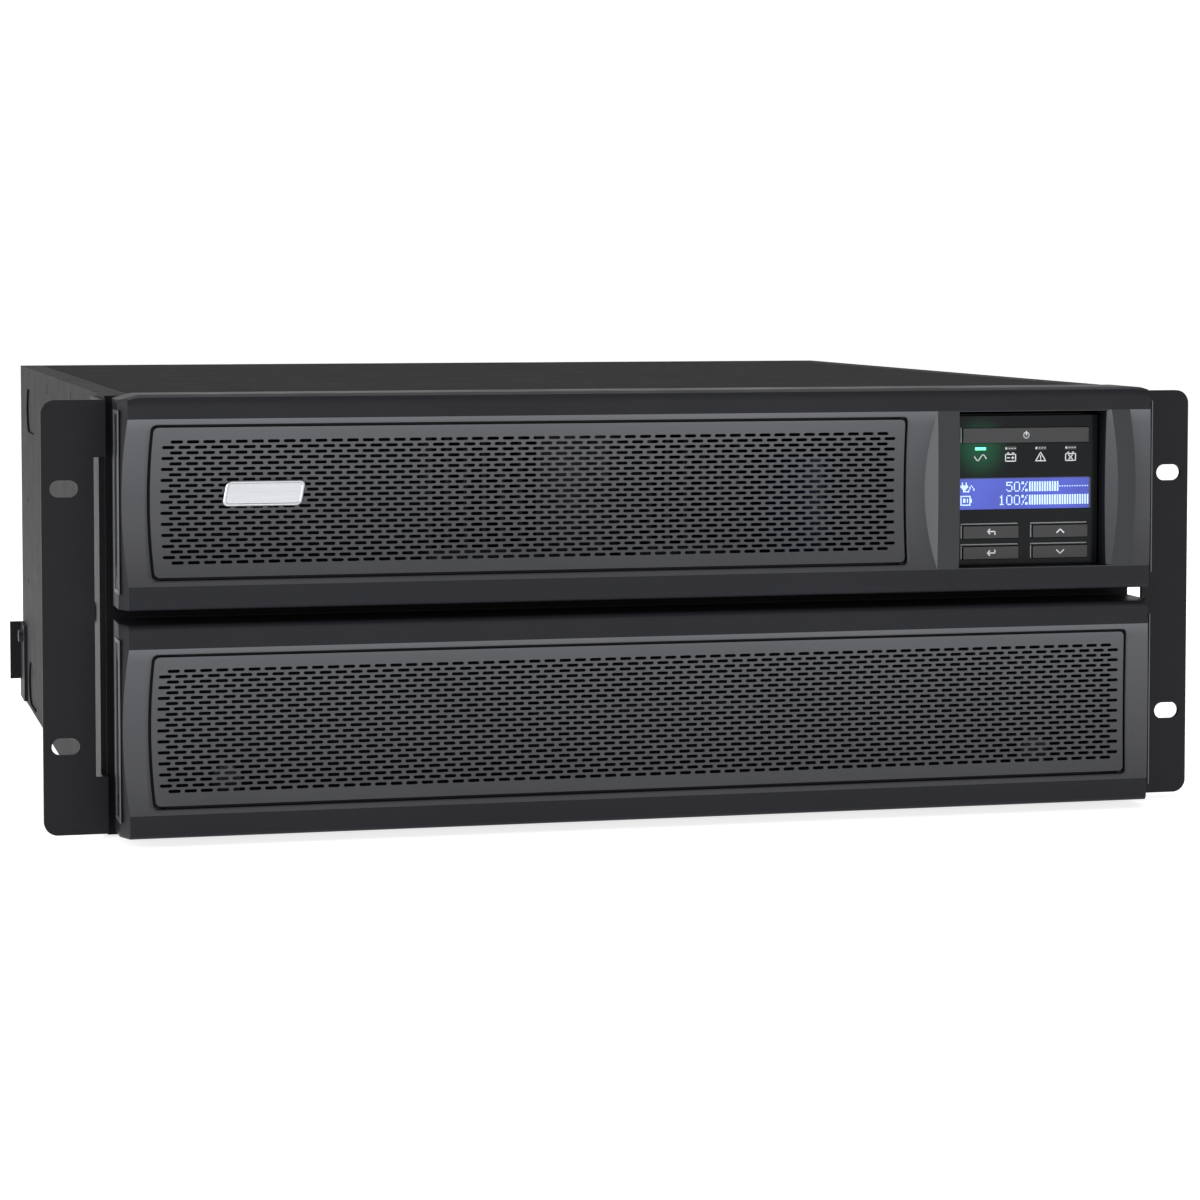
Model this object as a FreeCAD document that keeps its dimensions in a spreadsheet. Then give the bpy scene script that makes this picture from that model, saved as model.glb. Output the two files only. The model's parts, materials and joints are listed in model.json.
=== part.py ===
"""Rackmount uninterruptible power supply, four rack units tall.

Frame: X runs across the rack, Y runs back from the front, Z is up.  The origin is the
middle of the footprint at the height of the chassis bottom.  All sizes are millimetres.
"""

import FreeCAD, Part
import math
import os
import re

import Sketcher

Vector = FreeCAD.Vector

SIZES = {
    # chassis
    "chassis_width": 432.0, "chassis_height": 174.0, "chassis_front": -208.0,
    "chassis_rear": 241.0, "sheet": 1.5, "flange_reach": 11.0, "cover_gap": 0.4,
    "shelf_height": 88.0, "shelf_back": 196.0, "bay_back": 176.0, "vent_width": 84.0,
    "vent_low": 104.0, "vent_high": 162.0, "panel_margin": 2.0,
    # rear pockets, slits and pin holes of the side panels
    "pocket_radius": 11.0, "pocket_floor": 0.6, "pocket_front": 159.0, "pocket_rear": 192.0,
    "low_pocket": 13.0, "high_pocket": 152.5, "slit_width": 2.0, "pin_hole": 1.6,
    "pin_hole_y": 197.0,
    # rack ears
    "rack_width": 482.6, "ear_front": -212.0, "ear_sheet": 2.0, "ear_low": 1.0,
    "ear_high": 172.6, "ear_return": 42.0, "slot_spacing_x": 465.1,
    "slot_spacing_z": 101.6, "slot_middle": 86.9, "slot_length": 11.0, "slot_width": 6.8,
    "window_low": 23.6, "window_high": 150.0, "window_edge": 220.8, "window_deep": 10.0,
    "ear_corner": 5.5, "ear_screw_y": -182.0, "ear_screw_radius": 4.0,
    "ear_screw_head": 1.4,
    # brackets at the lower rear corners
    "bracket_front": 214.0, "bracket_low": 1.0, "bracket_high": 40.0,
    "bracket_lip_low": 10.0, "bracket_reach": 6.8, "bracket_screw_y": 224.0,
    "bracket_screw_z": 34.0, "bracket_screw_radius": 3.2, "bracket_screw_head": 2.2,
    # bezels
    "bezel_width": 427.5, "bezel_face": 421.3, "bezel_tall": 83.3, "lower_bezel_low": 3.0,
    "upper_bezel_low": 92.0, "bezel_front": -244.5, "bezel_edge": -243.0,
    "bezel_back": -214.0, "bezel_wall": 2.5, "bezel_end": 4.5, "bezel_inner": -233.0,
    "end_slope": 8.0, "zone_tall": 64.7, "zone_sag": 5.5, "plate_tall": 58.0,
    "plate_reach": 200.5, "upper_plate_right": 104.3, "plate_corner": 2.0,
    "pod_left": 118.0, "pod_right": 202.0, "groove": 1.2, "ledge": 3.0,
    "ledge_depth": 2.5, "plate_sheet": 1.6, "grip_depth": 1.8, "grip_margin": 14.0,
    "grip_front": -229.0, "grip_rear": -219.0, "edge_round": 2.0, "lower_stud_x": 191.0,
    "upper_stud_x": 202.0, "stud_inset": 8.0, "stud_hole": 3.8, "stud_radius": 2.8,
    "ball_radius": 3.3, "stud_end": -206.0, "badge_left": -174.0, "badge_width": 33.0,
    "badge_tall": 10.0, "badge_drop": 2.0, "badge_sheet": 1.2, "fit": 0.1,
    # display
    "display_x": 159.5, "opening_width": 64.6, "opening_tall": 64.0, "opening_low": 101.0,
    "display_width": 63.4, "display_low": 101.8, "display_tall": 61.6,
    "face_front": -234.0, "face_sheet": 2.0, "display_back": -212.0, "hinge_y": -230.5,
    "hinge_z": 161.0, "pin_radius": 1.5, "display_wall": 1.8, "swing_radius": 59.9,
    "power_width": 55.0, "power_tall": 6.0, "power_z": 155.4, "key_width": 24.0,
    "key_tall": 5.0, "key_step_x": 30.4, "upper_key_z": 115.5, "lower_key_z": 107.0,
    "key_gap": 0.3, "key_proud": 0.7, "key_deep": 3.0, "lcd_width": 57.6,
    "lcd_tall": 12.9, "lcd_z": 131.35, "lamp_z": 150.0, "lamp_step": 13.2,
    "lamp_width": 5.0, "lamp_tall": 1.5, "board_front": -228.0, "board_sheet": 1.6,
    "cheek_sheet": 2.0, "cheek_gap": 1.2, "cheek_front": -232.6, "cheek_low": 100.0,
    "cheek_high": 165.0, "housing_floor": 2.6, "lcd_sink": 0.4, "lcd_back": 3.0,
    # battery drawer
    "drawer_half": 203.0, "drawer_rear": 150.0, "drawer_low": 2.5, "drawer_wall": 1.2,
    "drawer_side": 58.0, "drawer_plate": -210.0, "drawer_plate_half": 208.0,
    "drawer_plate_low": 3.0, "drawer_plate_high": 87.0, "drawer_opening": 205.0,
    "battery_length": 151.0, "battery_wide": 94.0, "battery_tall": 65.0,
    "battery_gap": 2.0, "battery_front": -196.0, "knob_radius": 6.5, "knob_depth": 9.0,
    "knob_x": 170.0, "knob_z": 22.0, "handle_half": 45.0, "handle_z": 46.0,
    "handle_depth": 16.0, "handle_bar": 5.0, "shank_radius": 2.2, "shank_hole": 2.4,
    "strap_front": -60.0, "strap_back": -36.0, "strap_sheet": 1.5, "strap_foot": 25.0,
    "lead_radius": 2.4, "lead_x": 9.0, "lead_front": -30.0, "lead_back": 134.0,
    "plug_half": 22.0, "plug_front": 120.0, "plug_low": 20.0, "plug_high": 44.0,
    "blade_x": 11.0, "blade_length": 20.0, "socket_half": 24.8, "socket_low": 18.2,
    "socket_high": 45.8,
    # rear panel
    "fan_size": 80.0, "fan_depth": 25.0, "fan_bore": 37.5, "fan_x": -165.0,
    "fan_step": 88.0, "fan_z": 131.0, "hub_radius": 16.0, "blade_tip": 35.8,
    "outlet_width": 27.0, "outlet_tall": 20.0, "outlet_step": 34.0, "outlet_x": -92.0,
    "outlet_low_z": 30.0, "outlet_high_z": 62.0, "outlet_depth": 30.0,
    "wide_outlet_x": 66.0, "wide_outlet_width": 34.0, "inlet_x": -186.0, "inlet_z": 46.0,
    "breaker_x": -144.0, "breaker_low_z": 30.0, "breaker_high_z": 62.0, "card_left": 8.0,
    "card_width": 112.0, "card_low": 128.0, "card_tall": 34.0, "card_length": 130.0,
    "well_depth": 17.0, "contact_step": 5.5, "inlet_width": 30.0, "inlet_tall": 26.0,
    "inlet_well_width": 25.0, "inlet_well_tall": 19.0, "inlet_blade_step": 7.0,
    "breaker_neck": 6.0, "breaker_nut": 8.0, "breaker_button": 3.4, "jack_z": 109.0,
    "jack_tall": 12.0, "link_x": 158.0, "link_z": 142.0, "link_width": 52.0,
    "link_tall": 24.0, "link_step": 12.5, "card_jack_x": 24.0, "guard_reach": 41.0,
    "guard_wire": 0.9, "guard_stand": 2.2, "earth_x": 203.0, "earth_z": 110.0,
    # electronics
    "board_low": 96.0, "board_left": -88.0, "board_right": 206.0, "board_start": -150.0,
    "board_end": 190.0, "core_left": -196.0, "core_right": -108.0, "core_front": 96.0,
    "core_back": 156.0, "core_top": 164.0, "core_step": 23.0, "can_radius": 15.0,
    "can_tall": 44.0, "relay_tall": 26.0, "sink_front": -120.0, "sink_back": 60.0,
    "sink_top": 158.0,
}

DOC = FreeCAD.newDocument("rack_power_supply")
SHEET = DOC.addObject("Spreadsheet::Sheet", "Sizes")
for row, (alias, value) in enumerate(SIZES.items(), start=1):
    SHEET.set("A%d" % row, alias)
    SHEET.set("B%d" % row, repr(value))
    SHEET.setAlias("B%d" % row, alias)
DOC.recompute()

NODES = {}

TURNS = {
    "X": FreeCAD.Rotation(Vector(0, 1, 0), 90),
    "Y": FreeCAD.Rotation(Vector(1, 0, 0), -90),
    "Z": FreeCAD.Rotation(),
}


# ---------------------------------------------------------------- building blocks

def get(alias):
    """The number that the sheet holds under an alias."""
    return float(SHEET.get(alias))


def bind(item, target, formula):
    """Makes a property of an object follow a formula over the sheet's aliases."""
    def link(match):
        word = match.group()
        return "Sizes." + word if word in SIZES else word
    item.setExpression(target, re.sub(r"[a-z]\w+", link, str(formula)))


def node(label, item):
    """Registers the object that a sub-part is written from."""
    item.Label = label
    NODES[label] = item
    return item


def box(name, x, y, z):
    """A block between a low and a high formula along each axis."""
    item = DOC.addObject("Part::Box", name)
    for side, axis, (low, high) in zip(("Length", "Width", "Height"), "xyz", (x, y, z)):
        bind(item, side, "(%s) - (%s)" % (high, low))
        bind(item, "Placement.Base." + axis, low)
    return item


def rod(name, axis, start, radius, length):
    """A cylinder that starts at a point given by formulas and runs along an axis."""
    item = DOC.addObject("Part::Cylinder", name)
    item.Placement = FreeCAD.Placement(Vector(), TURNS[axis])
    bind(item, "Radius", radius)
    bind(item, "Height", length)
    for letter, formula in zip("xyz", start):
        bind(item, "Placement.Base." + letter, formula)
    return item


def ball(name, centre, radius):
    """A sphere about a point given by formulas."""
    item = DOC.addObject("Part::Sphere", name)
    bind(item, "Radius", radius)
    for letter, formula in zip("xyz", centre):
        bind(item, "Placement.Base." + letter, formula)
    return item


def fuse(name, items):
    """One solid from several that touch or overlap."""
    item = DOC.addObject("Part::MultiFuse", name)
    item.Shapes = items
    item.Refine = True
    return item


def group(name, items):
    """Separate solids kept together in one sub-part."""
    item = DOC.addObject("Part::Compound", name)
    item.Links = items
    return item


def cut(name, base, tools):
    """A solid with one or more others taken out of it."""
    item = DOC.addObject("Part::Cut", name)
    item.Base = base
    item.Tool = tools[0] if len(tools) == 1 else fuse(name + "_tools", tools)
    return item


def slot(name, axis, centre, length, width, depth):
    """A cutter with round ends, long along X, that runs along an axis."""
    x, y, z = centre
    reach = "((%s) - (%s)) / 2" % (length, width)
    ends = [rod("%s_end_%d" % (name, side), axis, ("%s + %d * %s" % (x, side, reach), y, z),
                "(%s) / 2" % width, depth) for side in (-1, 1)]
    middle = box(name + "_middle", ("%s - %s" % (x, reach), "%s + %s" % (x, reach)),
                 (y, "(%s) + (%s)" % (y, depth)),
                 ("%s - (%s) / 2" % (z, width), "%s + (%s) / 2" % (z, width)))
    return fuse(name, ends + [middle])


def draw_rectangle(sketch, u, v):
    """Adds a rectangle between low and high formulas along the sketch's two axes."""
    first = sketch.GeometryCount
    corners = [Vector(0, 0, 0), Vector(9, 0, 0), Vector(9, 9, 0), Vector(0, 9, 0)]
    for step in range(4):
        sketch.addGeometry(Part.LineSegment(corners[step], corners[(step + 1) % 4]), False)
    for step in range(4):
        sketch.addConstraint(Sketcher.Constraint(
            "Coincident", first + step, 2, first + (step + 1) % 4, 1))
        level = "Vertical" if step % 2 else "Horizontal"
        sketch.addConstraint(Sketcher.Constraint(level, first + step))
    spans = (("DistanceX", (-1, 1, first, 1), u[0]),
             ("DistanceY", (-1, 1, first, 1), v[0]),
             ("DistanceX", (first, 1, first, 2), "(%s) - (%s)" % (u[1], u[0])),
             ("DistanceY", (first + 1, 1, first + 1, 2), "(%s) - (%s)" % (v[1], v[0])))
    for kind, ends, formula in spans:
        index = sketch.addConstraint(Sketcher.Constraint(kind, *ends, 5.0))
        bind(sketch, "Constraints[%d]" % index, formula)


def draw_circle(sketch, u, v, radius):
    """Adds a circle with its centre and radius given by formulas."""
    first = sketch.addGeometry(Part.Circle(Vector(5, 5, 0), Vector(0, 0, 1), 3), False)
    spans = (("DistanceX", (-1, 1, first, 3), u), ("DistanceY", (-1, 1, first, 3), v),
             ("Radius", (first,), radius))
    for kind, ends, formula in spans:
        index = sketch.addConstraint(Sketcher.Constraint(kind, *ends, 5.0))
        bind(sketch, "Constraints[%d]" % index, formula)


def sketch_on(body, role, level):
    """A sketch on one of a body's own origin planes, lifted along the plane's normal."""
    sketch = body.newObject("Sketcher::SketchObject", body.Name + "_sketch")
    plane = next(item for item in body.Origin.OriginFeatures if item.Role == role)
    sketch.AttachmentSupport = [(plane, "")]
    sketch.MapMode = "FlatFace"
    bind(sketch, "AttachmentOffset.Base.z", level)
    return sketch


def panel(name, role, level, u, v, thickness, windows=(), rounds=()):
    """A padded sheet with rectangular windows and round holes, as a body of its own."""
    body = DOC.addObject("PartDesign::Body", name)
    sketch = sketch_on(body, role, level)
    draw_rectangle(sketch, u, v)
    for window in windows:
        draw_rectangle(sketch, *window)
    for circle in rounds:
        draw_circle(sketch, *circle)
    pad = body.newObject("PartDesign::Pad", name + "_pad")
    pad.Profile = sketch
    bind(pad, "Length", thickness)
    body.Tip = pad
    return body


def wall(name, front, u, v, thickness, windows=(), rounds=()):
    """An upright sheet across the chassis, whose front face is at the formula."""
    return panel(name, "XZ_Plane", "-((%s) + (%s))" % (front, thickness), u, v, thickness,
                 windows, rounds)


def around(centre, extent):
    """Low and high formulas for a span about a centre."""
    return ("%s - (%s) / 2" % (centre, extent), "%s + (%s) / 2" % (centre, extent))


# ---------------------------------------------------------------- chassis

INSIDE = ("-(chassis_width / 2 - sheet)", "chassis_width / 2 - sheet")
REAR_FACE = "chassis_rear - sheet"
SLITS = ((72, 165, 169.5), (-57, 167, 170.3))    # place along Y, then bottom and top
PIN_HOLES = (64.8, 106.7)                        # heights
VENTS = (-48, 44)                                # middles of the front panel's air vents
BOARD_POSTS_X = (-80, 60, 198)
BOARD_POSTS_Y = (-142, 182)
JACKS = ((20, 12), (52, 31), (84, 15), (110, 15))    # place along X and width


def make_chassis():
    """Base, sides, cover, shelf, bay wall and the front and rear panels."""
    node("base_pan", panel("base_pan", "XY_Plane", "0", INSIDE,
                           ("chassis_front", REAR_FACE), "sheet"))
    cover_half = "(chassis_width / 2 - flange_reach - cover_gap)"
    node("top_cover", panel("top_cover", "XY_Plane", "chassis_height - sheet",
                            ("-" + cover_half, cover_half),
                            ("chassis_front", "chassis_rear"), "sheet"))
    make_shelf()
    socket_hole = (around("0", "2 * socket_half + 0.4"), ("socket_low - 0.2",
                                                          "socket_high + 0.2"))
    node("bay_wall", wall("bay_wall", "bay_back", INSIDE, ("sheet", "shelf_height"), "sheet",
                          [socket_hole]))
    for side, word in ((-1, "left"), (1, "right")):
        node("side_panel_" + word, make_side_panel(side, word))
    make_front_panel()
    make_rear_panel()


def make_shelf():
    """The shelf over the batteries, with the pressed-in posts of the main board."""
    sheet = panel("shelf_sheet", "XY_Plane", "shelf_height", INSIDE,
                  ("chassis_front + sheet", "shelf_back"), "sheet")
    floor = "shelf_height + sheet"
    posts = [rod("board_post_%d_%d" % (number, y), "Z", (str(x), str(y), floor), "3",
                 "board_low - (%s)" % floor)
             for number, x in enumerate(BOARD_POSTS_X) for y in BOARD_POSTS_Y]
    node("divider_shelf", group("divider_shelf", [sheet] + posts))


def outward(side, near, far):
    """Low and high formulas of a span that runs out from near to far on one side."""
    pair = ("%d * (%s)" % (side, near), "%d * (%s)" % (side, far))
    return pair if side > 0 else pair[::-1]


def make_side_panel(side, word):
    """A side sheet with its top flange, pressed rear pockets, slits and pin holes."""
    name = "side_panel_" + word
    x_sheet = outward(side, "chassis_width / 2 - sheet", "chassis_width / 2")
    x_flange = outward(side, "chassis_width / 2 - flange_reach", "chassis_width / 2")
    y_span = ("chassis_front", "chassis_rear")
    upright = box(name + "_upright", x_sheet, y_span, ("0", "chassis_height"))
    flange = box(name + "_flange", x_flange, y_span, ("chassis_height - sheet",
                                                      "chassis_height"))
    tools = []
    x_pocket = outward(side, "chassis_width / 2 - (sheet - pocket_floor)",
                       "chassis_width / 2")
    for height in ("low_pocket", "high_pocket"):
        for end in ("pocket_front", "pocket_rear"):
            tools.append(rod("%s_%s_%s" % (name, height, end), "X",
                             (x_pocket[0], end, height), "pocket_radius",
                             "sheet - pocket_floor"))
        tools.append(box("%s_%s_middle" % (name, height), x_pocket,
                         ("pocket_front", "pocket_rear"),
                         around(height, "2 * pocket_radius")))
    for number, (y, low, high) in enumerate(SLITS):
        tools.append(box("%s_slit_%d" % (name, number), x_sheet,
                         around(str(y), "slit_width"), (str(low), str(high))))
    for number, height in enumerate(PIN_HOLES):
        tools.append(rod("%s_hole_%d" % (name, number), "X",
                         (x_sheet[0], "pin_hole_y", str(height)), "pin_hole", "sheet"))
    return cut(name, fuse(name + "_blank", [upright, flange]), tools)


def make_front_panel():
    """The sheet behind the bezels, open for the drawer, the display and the air."""
    drawer = (("-drawer_opening", "drawer_opening"),
              ("panel_margin", "shelf_height - panel_margin"))
    display = (around("display_x", "display_width + 2 * cheek_gap + 1"),
               ("opening_low - panel_margin", "opening_low + opening_tall + panel_margin"))
    vents = [(around(str(x), "vent_width"), ("vent_low", "vent_high")) for x in VENTS]
    studs = [("%d * upper_stud_x" % side, "upper_bezel_low + %s" % height, "stud_hole")
             for side in (-1, 1) for height in ("stud_inset", "bezel_tall - stud_inset")]
    node("front_panel", wall("front_panel", "chassis_front", INSIDE,
                             ("sheet", "chassis_height - sheet"), "sheet",
                             [drawer, display] + vents, studs))


def make_rear_panel():
    """The rear sheet with the cut-outs for everything that shows there."""
    outlets = [(around("outlet_x + %d * outlet_step" % column, "outlet_width"),
                around(height, "outlet_tall"))
               for column in range(4) for height in ("outlet_low_z", "outlet_high_z")]
    wide = [(around("wide_outlet_x", "wide_outlet_width"), around(height, "outlet_tall + 4"))
            for height in ("outlet_low_z", "outlet_high_z")]
    inlet = (around("inlet_x", "inlet_width"), around("inlet_z", "inlet_tall"))
    card = (("card_left", "card_left + card_width"), ("card_low", "card_low + card_tall"))
    jacks = [(around(str(x), str(width)), around("jack_z", "jack_tall"))
             for x, width in JACKS]
    link = (around("link_x", "link_width"), around("link_z", "link_tall"))
    rounds = [("fan_x + %d * fan_step" % place, "fan_z", "fan_bore") for place in (0, 1)]
    rounds += [("breaker_x", height, "breaker_neck")
               for height in ("breaker_low_z", "breaker_high_z")]
    node("rear_panel", wall("rear_panel", REAR_FACE, INSIDE,
                            ("sheet", "chassis_height - sheet"), "sheet",
                            outlets + wide + [inlet, card, link] + jacks, rounds))


# ---------------------------------------------------------------- rack ears and brackets

EAR_SCREWS = (14, 86, 160)    # heights


def make_ears():
    """The two rack ears, slotted plates with a window at the bend; gives their screws."""
    for side, word in ((-1, "left"), (1, "right")):
        name = "rack_ear_" + word
        depth = ("ear_front", "ear_front + ear_sheet")
        rise = ("ear_low", "ear_high")
        plate = box(name + "_plate", outward(side, "chassis_width / 2", "rack_width / 2"),
                    depth, rise)
        flange = box(name + "_flange",
                     outward(side, "chassis_width / 2", "chassis_width / 2 + ear_sheet"),
                     ("ear_front", "ear_front + ear_return"), rise)
        tools = [box(name + "_window", outward(side, "chassis_width / 2 - 1", "window_edge"),
                     ("ear_front - 1", "ear_front - 1 + window_deep"),
                     ("window_low", "window_high"))]
        for number, shift in enumerate(("-slot_spacing_z / 2", "slot_spacing_z / 2")):
            tools.append(slot("%s_slot_%d" % (name, number), "Y",
                              ("%d * slot_spacing_x / 2" % side, "ear_front - 1",
                               "slot_middle + " + shift),
                              "slot_length", "slot_width", "ear_sheet + 2"))
        blank = fuse(name + "_blank", [plate, flange])
        rounded = DOC.addObject("Part::Fillet", name + "_rounded")
        rounded.Base = blank
        DOC.recompute()
        outer = side * get("rack_width") / 2
        corner = get("ear_corner")
        rounded.Edges = [(index, corner, corner)
                         for index, edge in enumerate(blank.Shape.Edges, 1)
                         if abs(edge.CenterOfMass.x - outer) < 0.01
                         and edge.Length < 1.01 * get("ear_sheet")]
        node(name, cut(name, rounded, tools))
    screws = []
    for side in (-1, 1):
        head = outward(side, "chassis_width / 2 + ear_sheet",
                       "chassis_width / 2 + ear_sheet + ear_screw_head")
        for number, height in enumerate(EAR_SCREWS):
            screws.append(rod("ear_screw_%d_%d" % (side, number), "X",
                              (head[0], "ear_screw_y", str(height)), "ear_screw_radius",
                              "ear_screw_head"))
    return screws


def make_rear_brackets():
    """The small angle at each lower rear corner; gives the two screws that hold them."""
    brackets = []
    for side in (-1, 1):
        name = "rear_bracket_%d" % side
        leg = box(name + "_leg", outward(side, "chassis_width / 2",
                                         "chassis_width / 2 + sheet"),
                  ("bracket_front", "chassis_rear"), ("bracket_low", "bracket_high"))
        lip = box(name + "_lip", outward(side, "chassis_width / 2",
                                         "chassis_width / 2 + bracket_reach"),
                  (REAR_FACE, "chassis_rear"), ("bracket_lip_low", "bracket_high"))
        brackets.append(fuse(name, [leg, lip]))
    node("rear_brackets", group("rear_brackets", brackets))
    screws = []
    for side in (-1, 1):
        head = outward(side, "chassis_width / 2 + sheet",
                       "chassis_width / 2 + sheet + bracket_screw_head")
        screws.append(rod("bracket_screw_%d" % side, "X",
                          (head[0], "bracket_screw_y", "bracket_screw_z"),
                          "bracket_screw_radius", "bracket_screw_head"))
    return screws


# ---------------------------------------------------------------- bezels

CLEAR = 5.0    # how far a cutter reaches past the bezel's front


def zone_radius():
    """Radius of the scooped grille zone, from its chord and its depth."""
    chord = get("zone_tall")
    sag = get("zone_sag")
    return chord ** 2 / (8 * sag) + sag / 2


def scoop(middle, left, right, growth):
    """The cylinder in front of a bezel whose wall is the grille zone, grown backwards."""
    radius = zone_radius()
    centre_y = get("bezel_edge") + get("zone_sag") - radius
    start = Vector(left, centre_y, middle)
    return Part.makeCylinder(radius + growth, right - left, start, Vector(1, 0, 0))


def plate_prism(left, right, middle, margin):
    """A rounded bar through the bezel with the grille's outline, grown by a margin."""
    tall = get("plate_tall") + 2 * margin
    front = get("bezel_front") - CLEAR
    bar = Part.makeBox(right - left + 2 * margin, get("bezel_inner") + 8 - front, tall,
                       Vector(left - margin, front, middle - tall / 2))
    corners = [edge for edge in bar.Edges if abs(edge.tangentAt(0).y) > 0.9]
    return bar.makeFillet(get("plate_corner"), corners)


def bezel_blank(low):
    """The crowned bezel body with sloped ends, rounded edges, grips and its hollow."""
    half = get("bezel_width") / 2
    tall = get("bezel_tall")
    edge, back = get("bezel_edge"), get("bezel_back")
    corners = [Vector(-half, back, low), Vector(-half, edge, low),
               Vector(-half, edge, low + tall), Vector(-half, back, low + tall)]
    crown = Vector(-half, get("bezel_front"), low + tall / 2)
    outline = Part.Wire([
        Part.LineSegment(corners[0], corners[1]).toShape(),
        Part.Arc(corners[1], crown, corners[2]).toShape(),
        Part.LineSegment(corners[2], corners[3]).toShape(),
        Part.LineSegment(corners[3], corners[0]).toShape()])
    blank = Part.Face(outline).extrude(Vector(2 * half, 0, 0))
    long_edges = [item for item in blank.Edges
                  if item.Length > half and abs(item.CenterOfMass.y - edge) < 0.1]
    blank = blank.makeFillet(get("edge_round"), long_edges)
    wall_sheet = get("bezel_wall")
    hollow_half = half - get("bezel_end")
    inner = get("bezel_inner")
    tools = [Part.makeBox(2 * hollow_half, back - inner + 1, tall - 2 * wall_sheet,
                          Vector(-hollow_half, inner, low + wall_sheet))]
    face_half = get("bezel_face") / 2
    front = get("bezel_front") - 1
    grip = get("grip_depth")
    margin = get("grip_margin")
    for side in (-1, 1):
        slope = Part.makePolygon([
            Vector(side * face_half, front, low - 1), Vector(side * (half + 1), front, low - 1),
            Vector(side * (half + 1), edge + get("end_slope"), low - 1),
            Vector(side * half, edge + get("end_slope"), low - 1),
            Vector(side * face_half, edge, low - 1),
            Vector(side * face_half, front, low - 1)])
        tools.append(Part.Face(slope).extrude(Vector(0, 0, tall + 2)))
        corner_x = side * half - (grip if side > 0 else 0)
        tools.append(Part.makeBox(grip, get("grip_rear") - get("grip_front"),
                                  tall - 2 * margin,
                                  Vector(corner_x, get("grip_front"), low + margin)))
    return blank.cut(tools)


def make_bezel(word, low, plate_right, zones):
    """A bezel with its scooped zones, the ledge and window for its grille, and studs."""
    middle = low + get("bezel_tall") / 2
    left = -get("plate_reach")
    reach = get("bezel_width") / 2 + 1
    shape = bezel_blank(low)
    shape = shape.cut([scoop(middle, max(start, -reach), min(end, reach), 0)
                       for start, end in zones])
    depth = get("ledge_depth")
    seat = plate_prism(left, plate_right, middle, get("groove"))
    shape = shape.cut([seat.common(scoop(middle, -reach, reach, depth)),
                       plate_prism(left, plate_right, middle, -get("ledge"))])
    if word == "upper":
        width = get("opening_width")
        shape = shape.cut(Part.makeBox(
            width, get("bezel_back") - get("bezel_front"), get("opening_tall"),
            Vector(get("display_x") - width / 2, get("bezel_front") - CLEAR,
                   get("opening_low"))))
    name = word + "_bezel"
    feature = DOC.addObject("Part::Feature", name)
    feature.Shape = shape.removeSplitter()
    feature.Placement = FreeCAD.Placement()
    node(name, feature)

    plate_back = depth - get("fit")
    skin = scoop(middle, -reach, reach, plate_back).cut(
        scoop(middle, -reach - 1, reach + 1, plate_back - get("plate_sheet")))
    grille = DOC.addObject("Part::Feature", word + "_grille")
    grille.Shape = plate_prism(left, plate_right, middle, 0).common(skin)
    grille.Placement = FreeCAD.Placement()
    node(word + "_grille", grille)


def make_studs(word, low):
    """Four ball studs moulded to the back of a bezel."""
    studs = []
    for side in (-1, 1):
        for end, height in enumerate(("stud_inset", "bezel_tall - stud_inset")):
            name = "%s_stud_%s_%d" % (word, "left" if side < 0 else "right", end)
            x, z = "%d * %s_stud_x" % (side, word), "%s + %s" % (low, height)
            stem = rod(name + "_stem", "Y", (x, "bezel_inner", z), "stud_radius",
                       "stud_end - bezel_inner")
            studs.append(fuse(name, [stem, ball(name + "_ball", (x, "stud_end", z),
                                                "ball_radius")]))
    node(word + "_bezel_studs", group(word + "_bezel_studs", studs))


def make_bezels():
    """Both bezels, their grilles and studs, and the blank badge."""
    end = get("bezel_width")
    make_bezel("lower", get("lower_bezel_low"), get("plate_reach"), [(-end, end)])
    make_bezel("upper", get("upper_bezel_low"), get("upper_plate_right"),
               [(-end, get("pod_left")), (get("pod_right"), end)])
    make_studs("lower", "lower_bezel_low")
    make_studs("upper", "upper_bezel_low")
    middle = get("upper_bezel_low") + get("bezel_tall") / 2
    left, width = get("badge_left"), get("badge_width")
    back = get("ledge_depth") - get("plate_sheet") - 1.5 * get("fit")
    skin = scoop(middle, left - 2, left + width + 2, back).cut(
        scoop(middle, left - 3, left + width + 3, back - get("badge_sheet")))
    badge = DOC.addObject("Part::Feature", "badge")
    badge.Shape = Part.makeBox(width, get("bezel_back") - get("bezel_front"),
                               get("badge_tall"),
                               Vector(left, get("bezel_front") - CLEAR,
                                      middle - get("badge_drop"))).common(skin)
    badge.Placement = FreeCAD.Placement()
    node("badge", badge)


# ---------------------------------------------------------------- display

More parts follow.
